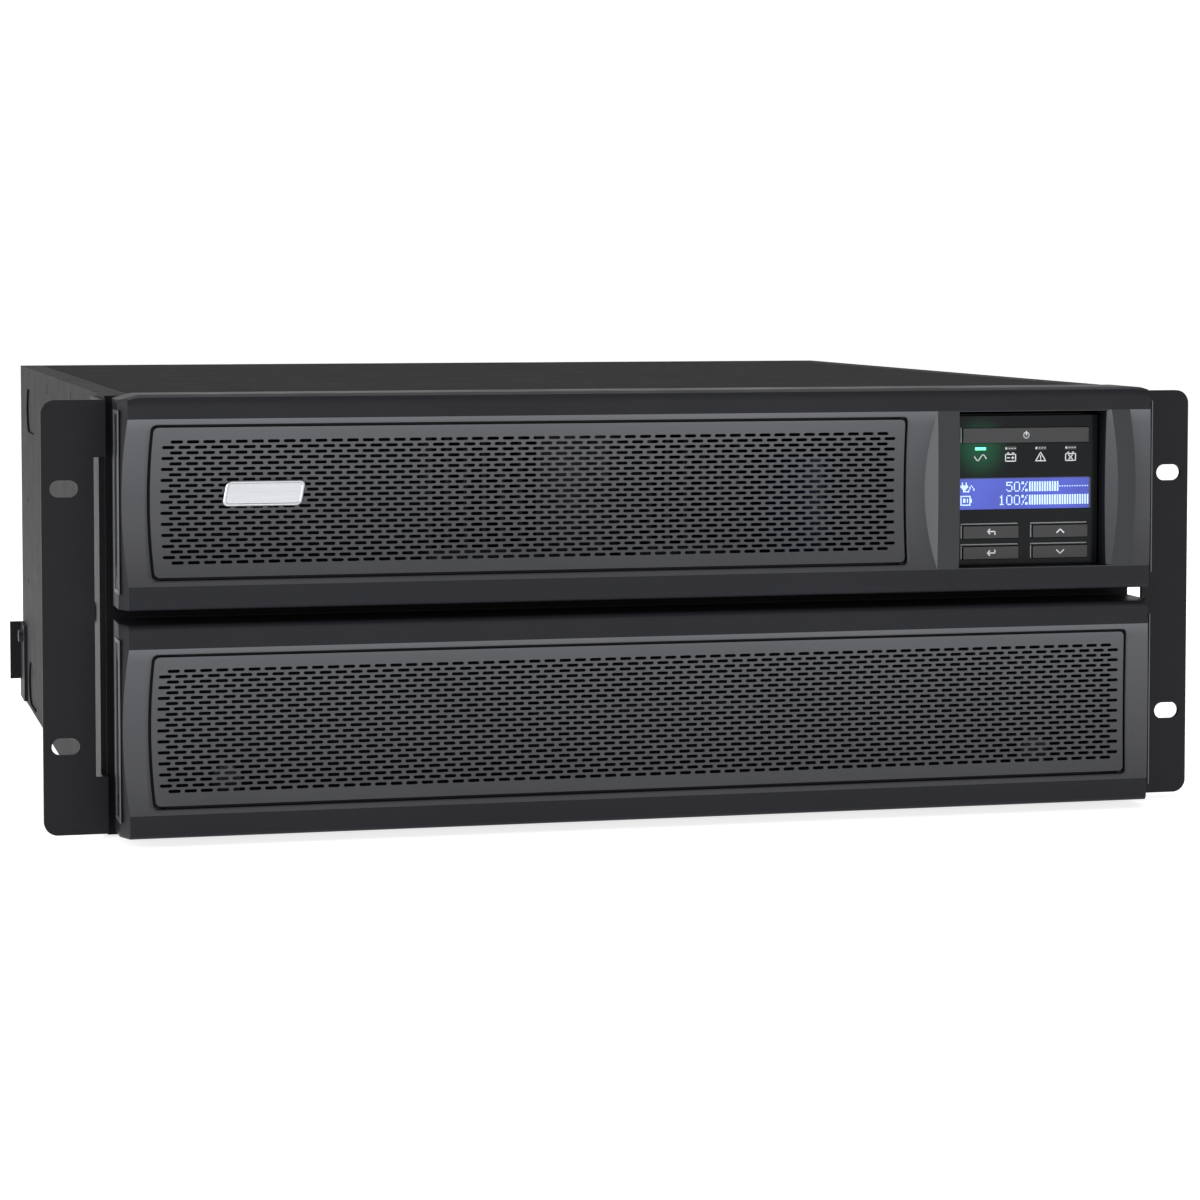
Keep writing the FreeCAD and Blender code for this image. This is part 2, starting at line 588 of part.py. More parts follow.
def make_display():
    """The tilting display module with its lamps, keys, screen, board and hinge."""
    outline = around("display_x", "display_width")
    rise = ("display_low", "display_low + display_tall")
    keys = key_places()
    windows = [(around(x, width + " + 2 * key_gap"), around(z, tall + " + 2 * key_gap"))
               for x, z, width, tall in keys.values()]
    windows.append((around("display_x", "lcd_width + 0.4"), around("lcd_z", "lcd_tall + 0.4")))
    lamps = [("display_x + %.1f * lamp_step" % step, "lamp_z")
             for step in (-1.5, -0.5, 0.5, 1.5)]
    windows += [(around(x, "lamp_width + 0.3"), around(z, "lamp_tall + 0.3"))
                for x, z in lamps]
    node("display_face", wall("display_face", "face_front", outline, rise, "face_sheet",
                              windows))
    make_display_housing(outline, rise)
    node("lcd_screen", box("lcd_screen", around("display_x", "lcd_width"),
                           ("face_front + lcd_sink", "face_front + lcd_back"),
                           around("lcd_z", "lcd_tall")))
    node("display_board", box("display_board",
                              around("display_x", "display_width - 2 * display_wall - 0.4"),
                              ("board_front", "board_front + board_sheet"),
                              ("display_low + 3", "display_low + display_tall - 4")))
    lamp_solids = [box("lamp_%d" % index, around(x, "lamp_width"),
                       ("face_front - 0.1", "board_front"), around(z, "lamp_tall"))
                   for index, (x, z) in enumerate(lamps)]
    node("status_lamps", group("status_lamps", lamp_solids))
    for name, (x, z, width, tall) in keys.items():
        cap = box(name + "_cap", around(x, width), ("face_front - key_proud",
                                                    "face_front + key_deep - 0.5"),
                  around(z, tall))
        node(name, cap)
    make_display_bracket()


def key_places():
    """Centre and size formulas of the power key and the four menu keys."""
    left, right = "display_x - key_step_x / 2", "display_x + key_step_x / 2"
    return {
        "power_button": ("display_x", "power_z", "power_width", "power_tall"),
        "back_button": (left, "upper_key_z", "key_width", "key_tall"),
        "up_button": (right, "upper_key_z", "key_width", "key_tall"),
        "enter_button": (left, "lower_key_z", "key_width", "key_tall"),
        "down_button": (right, "lower_key_z", "key_width", "key_tall"),
    }


def make_display_housing(outline, rise):
    """An open tray behind the face, its foot trimmed to swing clear about the hinge."""
    depth = ("face_front + face_sheet", "display_back")
    outer = box("display_housing_outer", outline, depth, rise)
    inner = box("display_housing_inner",
                around("display_x", "display_width - 2 * display_wall"),
                ("face_front + face_sheet", "display_back - display_wall"),
                ("display_low + housing_floor", "display_low + display_tall - display_wall"))
    swing = rod("display_housing_swing", "X", ("display_x - display_width", "hinge_y",
                                               "hinge_z"), "swing_radius",
                "2 * display_width")
    trimmed = DOC.addObject("Part::Common", "display_housing_trimmed")
    trimmed.Base, trimmed.Tool = outer, swing
    pins = [rod("hinge_pin_%d" % side, "X",
                ("display_x + %d * (display_width / 2 + cheek_gap / 2) - %s"
                 % (side, "(cheek_gap / 2 + cheek_sheet)" if side < 0 else "cheek_gap / 2"),
                 "hinge_y", "hinge_z"), "pin_radius", "cheek_gap + cheek_sheet")
            for side in (-1, 1)]
    tray = cut("display_housing_tray", trimmed, [inner])
    node("display_housing", fuse("display_housing", [tray] + pins))


def make_display_bracket():
    """Two cheeks on the front panel that carry the display's hinge pins."""
    cheeks = []
    for side in (-1, 1):
        near = "display_x + %d * (display_width / 2 + cheek_gap)" % side
        far = "display_x + %d * (display_width / 2 + cheek_gap + cheek_sheet)" % side
        x_span = (near, far) if side > 0 else (far, near)
        blank = box("display_cheek_blank_%d" % side, x_span,
                    ("cheek_front", "chassis_front"), ("cheek_low", "cheek_high"))
        bore = rod("display_cheek_bore_%d" % side, "X", (x_span[0], "hinge_y", "hinge_z"),
                   "pin_radius + 0.1", "cheek_sheet")
        cheeks.append(cut("display_cheek_%d" % side, blank, [bore]))
    node("display_cheeks", group("display_cheeks", cheeks))


# ---------------------------------------------------------------- battery drawer

def make_drawer():
    """The battery tray, its front plate and handle, the blocks, strap, leads and plug."""
    tray = DOC.addObject("PartDesign::Body", "drawer_tray")
    half, rear = "drawer_half", "drawer_rear"
    base = sketch_on(tray, "XY_Plane", "drawer_low")
    front = "drawer_plate + sheet"
    draw_rectangle(base, ("-" + half, half), (front, rear))
    pad = tray.newObject("PartDesign::Pad", "drawer_tray_pad")
    pad.Profile = base
    bind(pad, "Length", "drawer_side")
    DOC.recompute()
    hollow = sketch_on(tray, "XY_Plane", "drawer_low + drawer_side")
    draw_rectangle(hollow, ("-(drawer_half - drawer_wall)", "drawer_half - drawer_wall"),
                   (front + " - 2", "drawer_rear - drawer_wall"))
    pocket = tray.newObject("PartDesign::Pocket", "drawer_tray_pocket")
    pocket.Profile = hollow
    bind(pocket, "Length", "drawer_side - drawer_wall")
    tray.Tip = pocket
    node("drawer_tray", tray)

    studs = [("%d * lower_stud_x" % side, "lower_bezel_low + %s" % height, "stud_hole")
             for side in (-1, 1) for height in ("stud_inset", "bezel_tall - stud_inset")]
    knob_holes = [("%d * knob_x" % side, "knob_z", "shank_hole") for side in (-1, 1)]
    node("drawer_front", wall("drawer_front", "drawer_plate",
                              ("-drawer_plate_half", "drawer_plate_half"),
                              ("drawer_plate_low", "drawer_plate_high"), "sheet", (),
                              studs + knob_holes))
    posts = [box("handle_post_%d" % side, around("%d * handle_half" % side, "handle_bar"),
                 ("drawer_plate - handle_depth", "drawer_plate"),
                 around("handle_z", "handle_bar")) for side in (-1, 1)]
    bar = box("handle_bar", ("-handle_half - handle_bar / 2", "handle_half + handle_bar / 2"),
              ("drawer_plate - handle_depth", "drawer_plate - handle_depth + handle_bar"),
              around("handle_z", "handle_bar"))
    node("drawer_handle", fuse("drawer_handle", posts + [bar]))
    make_batteries()
    for side, word in ((-1, "left"), (1, "right")):
        node("drawer_screw_" + word, make_thumbscrew("drawer_screw_" + word, side))


def make_batteries():
    """Eight sealed blocks, two deep and four across, with their strap, leads and plug."""
    floor = "drawer_low + drawer_wall"
    pitch = "(battery_wide + battery_gap)"
    blocks = []
    for column in range(4):
        for line in range(2):
            x = "(%.1f) * %s" % (column - 1.5, pitch)
            y = "battery_front + %d * (battery_length + battery_gap)" % line
            blocks.append(box("battery_%d_%d" % (column, line), around(x, "battery_wide"),
                              (y, "%s + battery_length" % y),
                              (floor, floor + " + battery_tall")))
    node("battery_blocks", group("battery_blocks", blocks))
    top = floor + " + battery_tall"
    inner = "(drawer_half - drawer_wall)"
    legs = [box("strap_leg_%d" % side,
                outward(side, inner + " - strap_sheet", inner),
                ("strap_front", "strap_back"), ("strap_foot", top)) for side in (-1, 1)]
    bar = box("strap_bar", ("-" + inner, inner), ("strap_front", "strap_back"),
              (top, top + " + strap_sheet"))
    node("battery_strap", fuse("battery_strap", legs + [bar]))
    leads = []
    for side in (-1, 1):
        x = "%d * lead_x" % side
        level = top + " + lead_radius + 0.1"
        run = rod("battery_lead_run_%d" % side, "Y", (x, "lead_front", level), "lead_radius",
                  "lead_back - lead_front")
        bend = ball("battery_lead_bend_%d" % side, (x, "lead_back", level), "lead_radius")
        drop = rod("battery_lead_drop_%d" % side, "Z", (x, "lead_back", "plug_high"),
                   "lead_radius", level + " - plug_high")
        leads.append(fuse("battery_lead_%d" % side, [run, bend, drop]))
    plug = box("battery_plug_body", ("-plug_half", "plug_half"),
               ("plug_front", "drawer_rear - drawer_wall"), ("plug_low", "plug_high"))
    middle = "(plug_low + plug_high) / 2"
    blades = [box("battery_plug_blade_%d" % side, around("%d * blade_x" % side, "6"),
                  ("drawer_rear", "drawer_rear + blade_length"), around(middle, "8"))
              for side in (-1, 1)]
    node("battery_lead", group("battery_lead", leads + [plug] + blades))
    socket = box("battery_socket_body", ("-socket_half", "socket_half"),
                 ("bay_back - 18", "bay_back + 14"), ("socket_low", "socket_high"))
    holes = [box("battery_socket_hole_%d" % side, around("%d * blade_x" % side, "7"),
                 ("bay_back - 19", "bay_back + 4"), around(middle, "9.2"))
             for side in (-1, 1)]
    node("battery_socket", cut("battery_socket", socket, holes))


def make_thumbscrew(name, side):
    """A captive screw: a revolved knob with a bevelled rim, and its shank."""
    body = DOC.addObject("PartDesign::Body", name)
    sketch = sketch_on(body, "XY_Plane", "knob_z")
    x = side * get("knob_x")
    front = get("drawer_plate") - get("knob_depth")
    radius, shank = get("knob_radius"), get("shank_radius")
    face, tip = get("drawer_plate") - 0.2, get("drawer_plate") + get("sheet") + 3
    points = [(0, front), (radius - 0.8, front), (radius, front + 0.8), (radius, face),
              (shank, face), (shank, tip), (0, tip)]
    ring = [Vector(x + along, y, 0) for along, y in points]
    for near, far in zip(ring, ring[1:] + ring[:1]):
        sketch.addGeometry(Part.LineSegment(near, far), False)
    turn = body.newObject("PartDesign::Revolution", name + "_turn")
    turn.Profile = sketch
    turn.ReferenceAxis = (sketch, ["Edge%d" % len(ring)])
    turn.Angle = 360.0
    body.Tip = turn
    return body


# ---------------------------------------------------------------- rear panel fittings

BLADES = 7
BLADE_PITCH = 40                  # degrees
GUARD_RINGS = (12, 20, 28, 36)    # radii


def make_fans():
    """Two fans: a square frame with its guard, and a seven-bladed rotor in each."""
    guards = []
    for place, word in enumerate(("left", "right")):
        x = "fan_x + %d * fan_step" % place
        y = "chassis_rear - sheet - fan_depth"
        name = "fan_frame_" + word
        node(name, make_fan_frame(name, x, y))
        node("fan_rotor_" + word, make_rotor("fan_rotor_" + word, x, y))
        guards.append(make_guard("fan_guard_" + word, x))
    node("fan_guards", group("fan_guards", guards))


def make_fan_frame(name, x, y):
    """The square frame with the four arms, the motor cup and the spindle inside it."""
    frame = wall(name + "_ring", y, around(x, "fan_size"), around("fan_z", "fan_size"),
                 "fan_depth", (), [(x, "fan_z", "fan_bore")])
    hub = rod(name + "_cup", "Y", (x, y, "fan_z"), "hub_radius", "4")
    arms = [box("%s_arm_%d" % (name, turn), around(x, "2 * fan_bore + 1" if turn else "4"),
                (y, y + " + 3"), around("fan_z", "4" if turn else "2 * fan_bore + 1"))
            for turn in (0, 1)]
    spindle = rod(name + "_spindle", "Y", (x, y + " + 4", "fan_z"), "1.5", "15")
    return fuse(name, [frame, hub, spindle] + arms)


def make_rotor(name, x, y):
    """A hub with pitched blades, trimmed to the rotor's tip circle."""
    shift = get("fan_step") if name.endswith("right") else 0
    middle = get("chassis_rear") - get("sheet") - get("fan_depth") + 13.5
    centre = Vector(get("fan_x") + shift, middle, get("fan_z"))
    root, chord, sheet = 12.0, 16.0, 1.4
    hub = rod(name + "_hub", "Y", (x, y + " + 5", "fan_z"), "hub_radius", "17")
    blades = []
    for count in range(BLADES):
        blade = DOC.addObject("Part::Box", "%s_blade_%d" % (name, count))
        bind(blade, "Length", "blade_tip + 2 - %s" % root)
        blade.Width, blade.Height = chord, sheet
        spin = FreeCAD.Rotation(Vector(0, 1, 0), 360.0 / BLADES * count)
        turn = spin.multiply(FreeCAD.Rotation(Vector(1, 0, 0), BLADE_PITCH))
        corner = turn.multVec(Vector(root, -chord / 2, -sheet / 2))
        blade.Placement = FreeCAD.Placement(centre + corner, turn)
        blades.append(blade)
    solid = fuse(name + "_solid", [hub] + blades)
    tip = rod(name + "_tip", "Y", (x, y + " + 5", "fan_z"), "blade_tip", "17")
    bore = rod(name + "_bore", "Y", (x, y + " + 4", "fan_z"), "1.6", "15.2")
    trimmed = DOC.addObject("Part::Common", name + "_trimmed")
    trimmed.Base, trimmed.Tool = solid, tip
    return cut(name, trimmed, [bore])


def make_guard(name, x):
    """Round wire rings on a cross of wires over a fan, outside the rear panel."""
    rings = []
    for count, radius in enumerate(GUARD_RINGS):
        ring = DOC.addObject("Part::Torus", "%s_ring_%d" % (name, count))
        ring.Placement = FreeCAD.Placement(Vector(), TURNS["Y"])
        bind(ring, "Radius1", radius)
        bind(ring, "Radius2", "guard_wire")
        for letter, formula in zip("xyz", (x, "chassis_rear + guard_stand", "fan_z")):
            bind(ring, "Placement.Base." + letter, formula)
        rings.append(ring)
    depth = ("chassis_rear", "chassis_rear + 1.6")
    bars = [box(name + "_bar_x", around(x, "2 * guard_reach"), depth, around("fan_z", "2")),
            box(name + "_bar_z", around(x, "2"), depth,
                around("fan_z", "2 * guard_reach - 2"))]
    return fuse(name, rings + bars)


def receptacle(name, x, z, width, tall):
    """A flanged outlet: a ring recess about a tongue that has three contact slots."""
    front = "chassis_rear - outlet_depth"
    shell = box(name + "_shell", around(x, width + " - 0.2"), (front, "chassis_rear"),
                around(z, tall + " - 0.2"))
    flange = box(name + "_flange", around(x, width + " + 4"),
                 ("chassis_rear", "chassis_rear + 1.8"), around(z, tall + " + 4"))
    recess = box(name + "_recess", around(x, width + " - 4"),
                 ("chassis_rear - well_depth", "chassis_rear + 2"),
                 around(z, tall + " - 4"))
    tongue = box(name + "_tongue", around(x, width + " - 10"),
                 ("chassis_rear - well_depth - 1", "chassis_rear + 0.8"),
                 around(z, tall + " - 9"))
    body = cut(name + "_body", fuse(name + "_outer", [shell, flange]), [recess])
    slots = [box("%s_slot_%d" % (name, pole),
                 around("%s + %d * contact_step" % (x, pole), "2"),
                 ("chassis_rear - well_depth + 2", "chassis_rear + 1"),
                 around("%s + %d" % (z, 2 if pole else -2), "5")) for pole in (-1, 0, 1)]
    return cut(name, fuse(name + "_whole", [body, tongue]), slots)


def make_rear_fittings():
    """Outlets, inlet, breakers, jacks, link socket, network card; gives the earth stud."""
    outlets = [receptacle("outlet_%d_%d" % (column, line),
                          "outlet_x + %d * outlet_step" % column, height, "outlet_width",
                          "outlet_tall")
               for column in range(4)
               for line, height in enumerate(("outlet_low_z", "outlet_high_z"))]
    wide = [receptacle("wide_outlet_%d" % line, "wide_outlet_x", height,
                       "wide_outlet_width", "outlet_tall + 4")
            for line, height in enumerate(("outlet_low_z", "outlet_high_z"))]
    node("outlets", group("outlets", outlets + wide))
    make_inlet()
    breakers = []
    for word, height in (("lower", "breaker_low_z"), ("upper", "breaker_high_z")):
        neck = rod("breaker_neck_" + word, "Y", ("breaker_x", "chassis_rear - 26", height),
                   "breaker_neck - 0.1", "27.5")
        nut = rod("breaker_nut_" + word, "Y", ("breaker_x", "chassis_rear", height),
                  "breaker_nut", "1.5")
        block = box("breaker_block_" + word, around("breaker_x", "16"),
                    ("chassis_rear - 50", "chassis_rear - 6"), around(height, "26"))
        bore = rod("breaker_bore_" + word, "Y", ("breaker_x", "chassis_rear - 12", height),
                   "breaker_button + 0.2", "20")
        breakers.append(cut("breaker_" + word, fuse("breaker_blank_" + word,
                                                    [neck, nut, block]), [bore]))
        node("breaker_button_" + word,
             rod("breaker_button_" + word, "Y", ("breaker_x", "chassis_rear - 8", height),
                 "breaker_button", "11.5"))
    node("breakers", group("breakers", breakers))
    jacks = []
    for number, (x, width) in enumerate(JACKS):
        shell = box("jack_shell_%d" % number, around(str(x), "%s - 0.2" % width),
                    ("chassis_rear - 16", "chassis_rear + 1"),
                    around("jack_z", "jack_tall - 0.2"))
        mouth = box("jack_mouth_%d" % number, around(str(x), "%s - 3" % width),
                    ("chassis_rear - 11", "chassis_rear + 2"),
                    around("jack_z", "jack_tall - 3.4"))
        jacks.append(cut("jack_%d" % number, shell, [mouth]))
    node("signal_jacks", group("signal_jacks", jacks))
    link = box("link_shell", around("link_x", "link_width - 0.2"),
               ("chassis_rear - 26", "chassis_rear + 2"), around("link_z", "link_tall - 0.2"))
    wells = [box("link_well_%d" % side, around("link_x + %d * link_step" % side, "20"),
                 ("chassis_rear - 16", "chassis_rear + 3"), around("link_z", "link_tall - 7"))
             for side in (-1, 1)]
    node("battery_link_socket", cut("battery_link_socket", link, wells))
    make_card()
    return [rod("earth_stud", "Y", ("earth_x", "chassis_rear", "earth_z"), "3", "3")]


def make_inlet():
    """The mains inlet: a flanged well with three blades standing in it."""
    shell = box("inlet_shell", around("inlet_x", "inlet_width - 0.2"),
                ("chassis_rear - 32", "chassis_rear"), around("inlet_z", "inlet_tall - 0.2"))
    flange = box("inlet_flange", around("inlet_x", "inlet_width + 10"),
                 ("chassis_rear", "chassis_rear + 2"), around("inlet_z", "inlet_tall + 5"))
    well = box("inlet_well", around("inlet_x", "inlet_well_width"),
               ("chassis_rear - 18", "chassis_rear + 3"), around("inlet_z", "inlet_well_tall"))
    blades = [box("inlet_blade_%d" % pole,
                  around("inlet_x + %d * inlet_blade_step" % pole, "5"),
                  ("chassis_rear - 20", "chassis_rear - 2"),
                  around("inlet_z + %d" % (3 if pole else -3), "2")) for pole in (-1, 0, 1)]
    body = cut("inlet_body", fuse("inlet_outer", [shell, flange]), [well])
    node("mains_inlet", fuse("mains_inlet", [body] + blades))


def make_card():
    """The plug-in network card with its face plate, jack and two screws, and its rails."""
    right = "card_left + card_width"
    middle = "card_low + card_tall / 2"
    face = box("card_face", ("card_left - 5", right + " + 5"),
               ("chassis_rear", "chassis_rear + 1.2"),
               ("card_low - 2", "card_low + card_tall + 2"))
    mouth = box("card_mouth", around("card_left + card_jack_x", "13"),
                ("chassis_rear - 1", "chassis_rear + 2"), around(middle, "11"))
    node("card_face", cut("card_face", face, [mouth]))
    board = box("card_board_sheet", ("card_left + 0.9", right + " - 0.9"),
                ("chassis_rear - card_length", "chassis_rear"),
                ("card_low + 3", "card_low + 4.6"))
    shell = box("card_jack_shell", around("card_left + card_jack_x", "16"),
                ("chassis_rear - 20", "chassis_rear"), ("card_low + 4.6", "card_low + 21"))
    hole = box("card_jack_hole", around("card_left + card_jack_x", "12.6"),
               ("chassis_rear - 14", "chassis_rear + 1"), around(middle, "7"))
    chips = [box("card_chip_%d" % number, (low, low + " + 18"),
                 ("chassis_rear - 70", "chassis_rear - 50"), ("card_low + 4.6", "card_low + 7"))
             for number, low in enumerate(("card_left + 20", "card_left + 62"))]
    jack = cut("card_jack", shell, [hole])
    node("network_card", group("network_card", [board, jack] + chips))
    rails = []
    for side, x in ((-1, "card_left - 3"), (1, right + " - 2")):
        blank = box("card_rail_blank_%d" % side, (x, x + " + 5"),
                    ("chassis_rear - card_length - 6", REAR_FACE),
                    ("card_low", "card_low + 8"))
        groove_x = ("card_left + 0.5", "card_left + 3")
        if side > 0:
            groove_x = (right + " - 3", right + " - 0.5")
        groove = box("card_rail_groove_%d" % side, groove_x,
                     ("chassis_rear - card_length - 1", "chassis_rear"),
                     ("card_low + 2.6", "card_low + 5"))
        rails.append(cut("card_rail_%d" % side, blank, [groove]))
    node("card_rails", group("card_rails", rails))


# ---------------------------------------------------------------- electronics

HEAT_SINKS = (-70, 20)       # left sides
CANS_X = (106, 142, 178)
CANS_Y = (-124, -88)
RELAYS = (100, 128, 156)     # left sides
CHOKES = (112, 160)          # middles


def make_electronics():
    """Transformer, main board and what stands on it."""
    floor = "shelf_height + sheet"
    middle = "(core_left + core_right) / 2"
    window = (floor + " + 13.5", "core_top - 14")
    core = box("core_block", ("core_left", "core_right"), ("core_front", "core_back"),
               (floor, "core_top"))
    windows = [box("core_window_%d" % side, around("%s + %d * core_step" % (middle, side), "16"),
                   ("core_front - 1", "core_back + 1"), window) for side in (-1, 1)]
    node("transformer_core", cut("transformer_core", core, windows))
    coil = box("coil_block", around(middle, "61"), ("core_front - 10", "core_back + 10"),
               (window[0] + " + 0.4", window[1] + " - 0.4"))
    leg = box("coil_leg", around(middle, "30.4"), ("core_front - 0.4", "core_back + 0.4"),
              (window[0] + " - 3", window[1] + " + 2"))
    node("transformer_coil", cut("transformer_coil", coil, [leg]))
    node("main_board", panel("main_board", "XY_Plane", "board_low",
                             ("board_left", "board_right"), ("board_start", "board_end"),
                             "1.6"))
    top = "board_low + 1.6"
    node("heat_sinks", group("heat_sinks", [make_heat_sink("heat_sink_%d" % number, left)
                                            for number, left in enumerate(HEAT_SINKS)]))
    cans = [rod("capacitor_%d_%d" % (x, y), "Z", (str(x), str(y), top), "can_radius",
                "can_tall") for x in CANS_X for y in CANS_Y]
    node("capacitors", group("capacitors", cans))
    relays = [box("relay_%d" % left, (str(left), "%d + 20" % left), ("20", "50"),
                  (top, top + " + relay_tall")) for left in RELAYS]
    chokes = []
    for x in CHOKES:
        ring = DOC.addObject("Part::Torus", "choke_%d" % x)
        ring.Radius1, ring.Radius2 = 13, 7
        for letter, formula in zip("xyz", (str(x), "-30", top + " + 7")):
            bind(ring, "Placement.Base." + letter, formula)
        chokes.append(ring)
    node("relays_and_chokes", group("relays_and_chokes", relays + chokes))


def make_heat_sink(name, left):
    """An extruded comb of upright fins on a base."""
    fin_count, fin_step, fin_sheet = 7, 8, 2
    width = (fin_count - 1) * fin_step + fin_sheet
    depth = ("sink_front", "sink_back")
    base = box(name + "_base", (str(left), "%d + %d" % (left, width)), depth,
               ("board_low + 1.6", "board_low + 7"))
    fins = []
    for number in range(fin_count):
        start = left + fin_step * number
        fins.append(box("%s_fin_%d" % (name, number), (str(start), "%d + %d" % (start, fin_sheet)),
                        depth, ("board_low + 6", "sink_top")))
    return fuse(name, [base] + fins)


def write_parts():
    """Checks every object, then writes each sub-part to its own file."""
    DOC.recompute()
    failed = [item.Label for item in DOC.Objects
              if "Invalid" in item.State or "Error" in item.State]
    if failed:
        raise SystemExit("failed: " + ", ".join(failed))
    for label, item in NODES.items():
        if item.Shape.isNull() or not item.Shape.isValid() or not item.Shape.Solids:
            raise SystemExit("no valid solid: " + label)
    os.makedirs("parts", exist_ok=True)
    for label, item in NODES.items():
        item.Shape.exportStep(os.path.join("parts", label + ".step"))
        print("%-24s %2d solids %12.1f mm3" % (label, len(item.Shape.Solids),
                                               item.Shape.Volume))
    print(len(NODES), "sub-parts")


make_chassis()
screws = make_ears() + make_rear_brackets()
make_bezels()
make_display()
make_drawer()
make_fans()
screws += make_rear_fittings()
node("outer_screws", group("outer_screws", screws))
make_electronics()
write_parts()
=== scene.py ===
"""Looks of the rackmount power supply: bezels, grilles, display and every finish."""

import json
import math

import bmesh
import bpy
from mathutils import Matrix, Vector


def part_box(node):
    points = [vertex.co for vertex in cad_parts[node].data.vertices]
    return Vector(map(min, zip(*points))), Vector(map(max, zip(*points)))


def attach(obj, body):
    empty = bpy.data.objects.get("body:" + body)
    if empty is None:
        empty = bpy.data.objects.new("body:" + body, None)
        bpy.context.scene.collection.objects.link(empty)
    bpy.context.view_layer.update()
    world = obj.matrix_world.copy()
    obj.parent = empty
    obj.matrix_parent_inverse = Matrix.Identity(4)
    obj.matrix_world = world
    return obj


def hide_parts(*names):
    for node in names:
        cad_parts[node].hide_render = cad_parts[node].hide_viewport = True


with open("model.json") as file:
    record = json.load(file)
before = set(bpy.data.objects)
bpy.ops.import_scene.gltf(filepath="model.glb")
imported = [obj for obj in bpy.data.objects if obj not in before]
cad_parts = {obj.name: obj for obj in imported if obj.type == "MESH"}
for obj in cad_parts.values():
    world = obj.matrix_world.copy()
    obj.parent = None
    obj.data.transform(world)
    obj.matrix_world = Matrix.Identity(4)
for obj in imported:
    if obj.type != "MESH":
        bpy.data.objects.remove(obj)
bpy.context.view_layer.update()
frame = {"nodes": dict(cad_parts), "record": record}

MM = 0.001


# ---------------------------------------------------------------- small helpers

def node_box(name):
    """Lowest and highest corner of a CAD node, in millimetres."""
    low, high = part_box(name)
    return low / MM, high / MM


def new_object(name, mesh, material, body, smooth):
    """Links a mesh as a piece with one material and smooth shading below an angle."""
    item = bpy.data.objects.new(name, mesh)
    bpy.context.scene.collection.objects.link(item)
    mesh.materials.append(material)
    if smooth:
        for face in mesh.polygons:
            face.use_smooth = True
        mesh.set_sharp_from_angle(angle=math.radians(smooth))
    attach(item, body)
    return item


def mesh_from(name, points, faces, merge=0.004):
    """A mesh from points in millimetres, with touching points joined."""
    mesh = bpy.data.meshes.new(name)
    mesh.from_pydata([tuple(value * MM for value in point) for point in points], [], faces)
    work = bmesh.new()
    work.from_mesh(mesh)
    if merge:
        bmesh.ops.remove_doubles(work, verts=work.verts, dist=merge * MM)
    bmesh.ops.dissolve_degenerate(work, edges=work.edges, dist=merge * MM * 0.5)
    bmesh.ops.recalc_face_normals(work, faces=work.faces)
    work.to_mesh(mesh)
    work.free()
    return mesh


def spread(start, end, count):
    """Evenly spaced values from start towards end, without the end."""
    return [start + (end - start) * step / count for step in range(count)]


# ---------------------------------------------------------------- materials

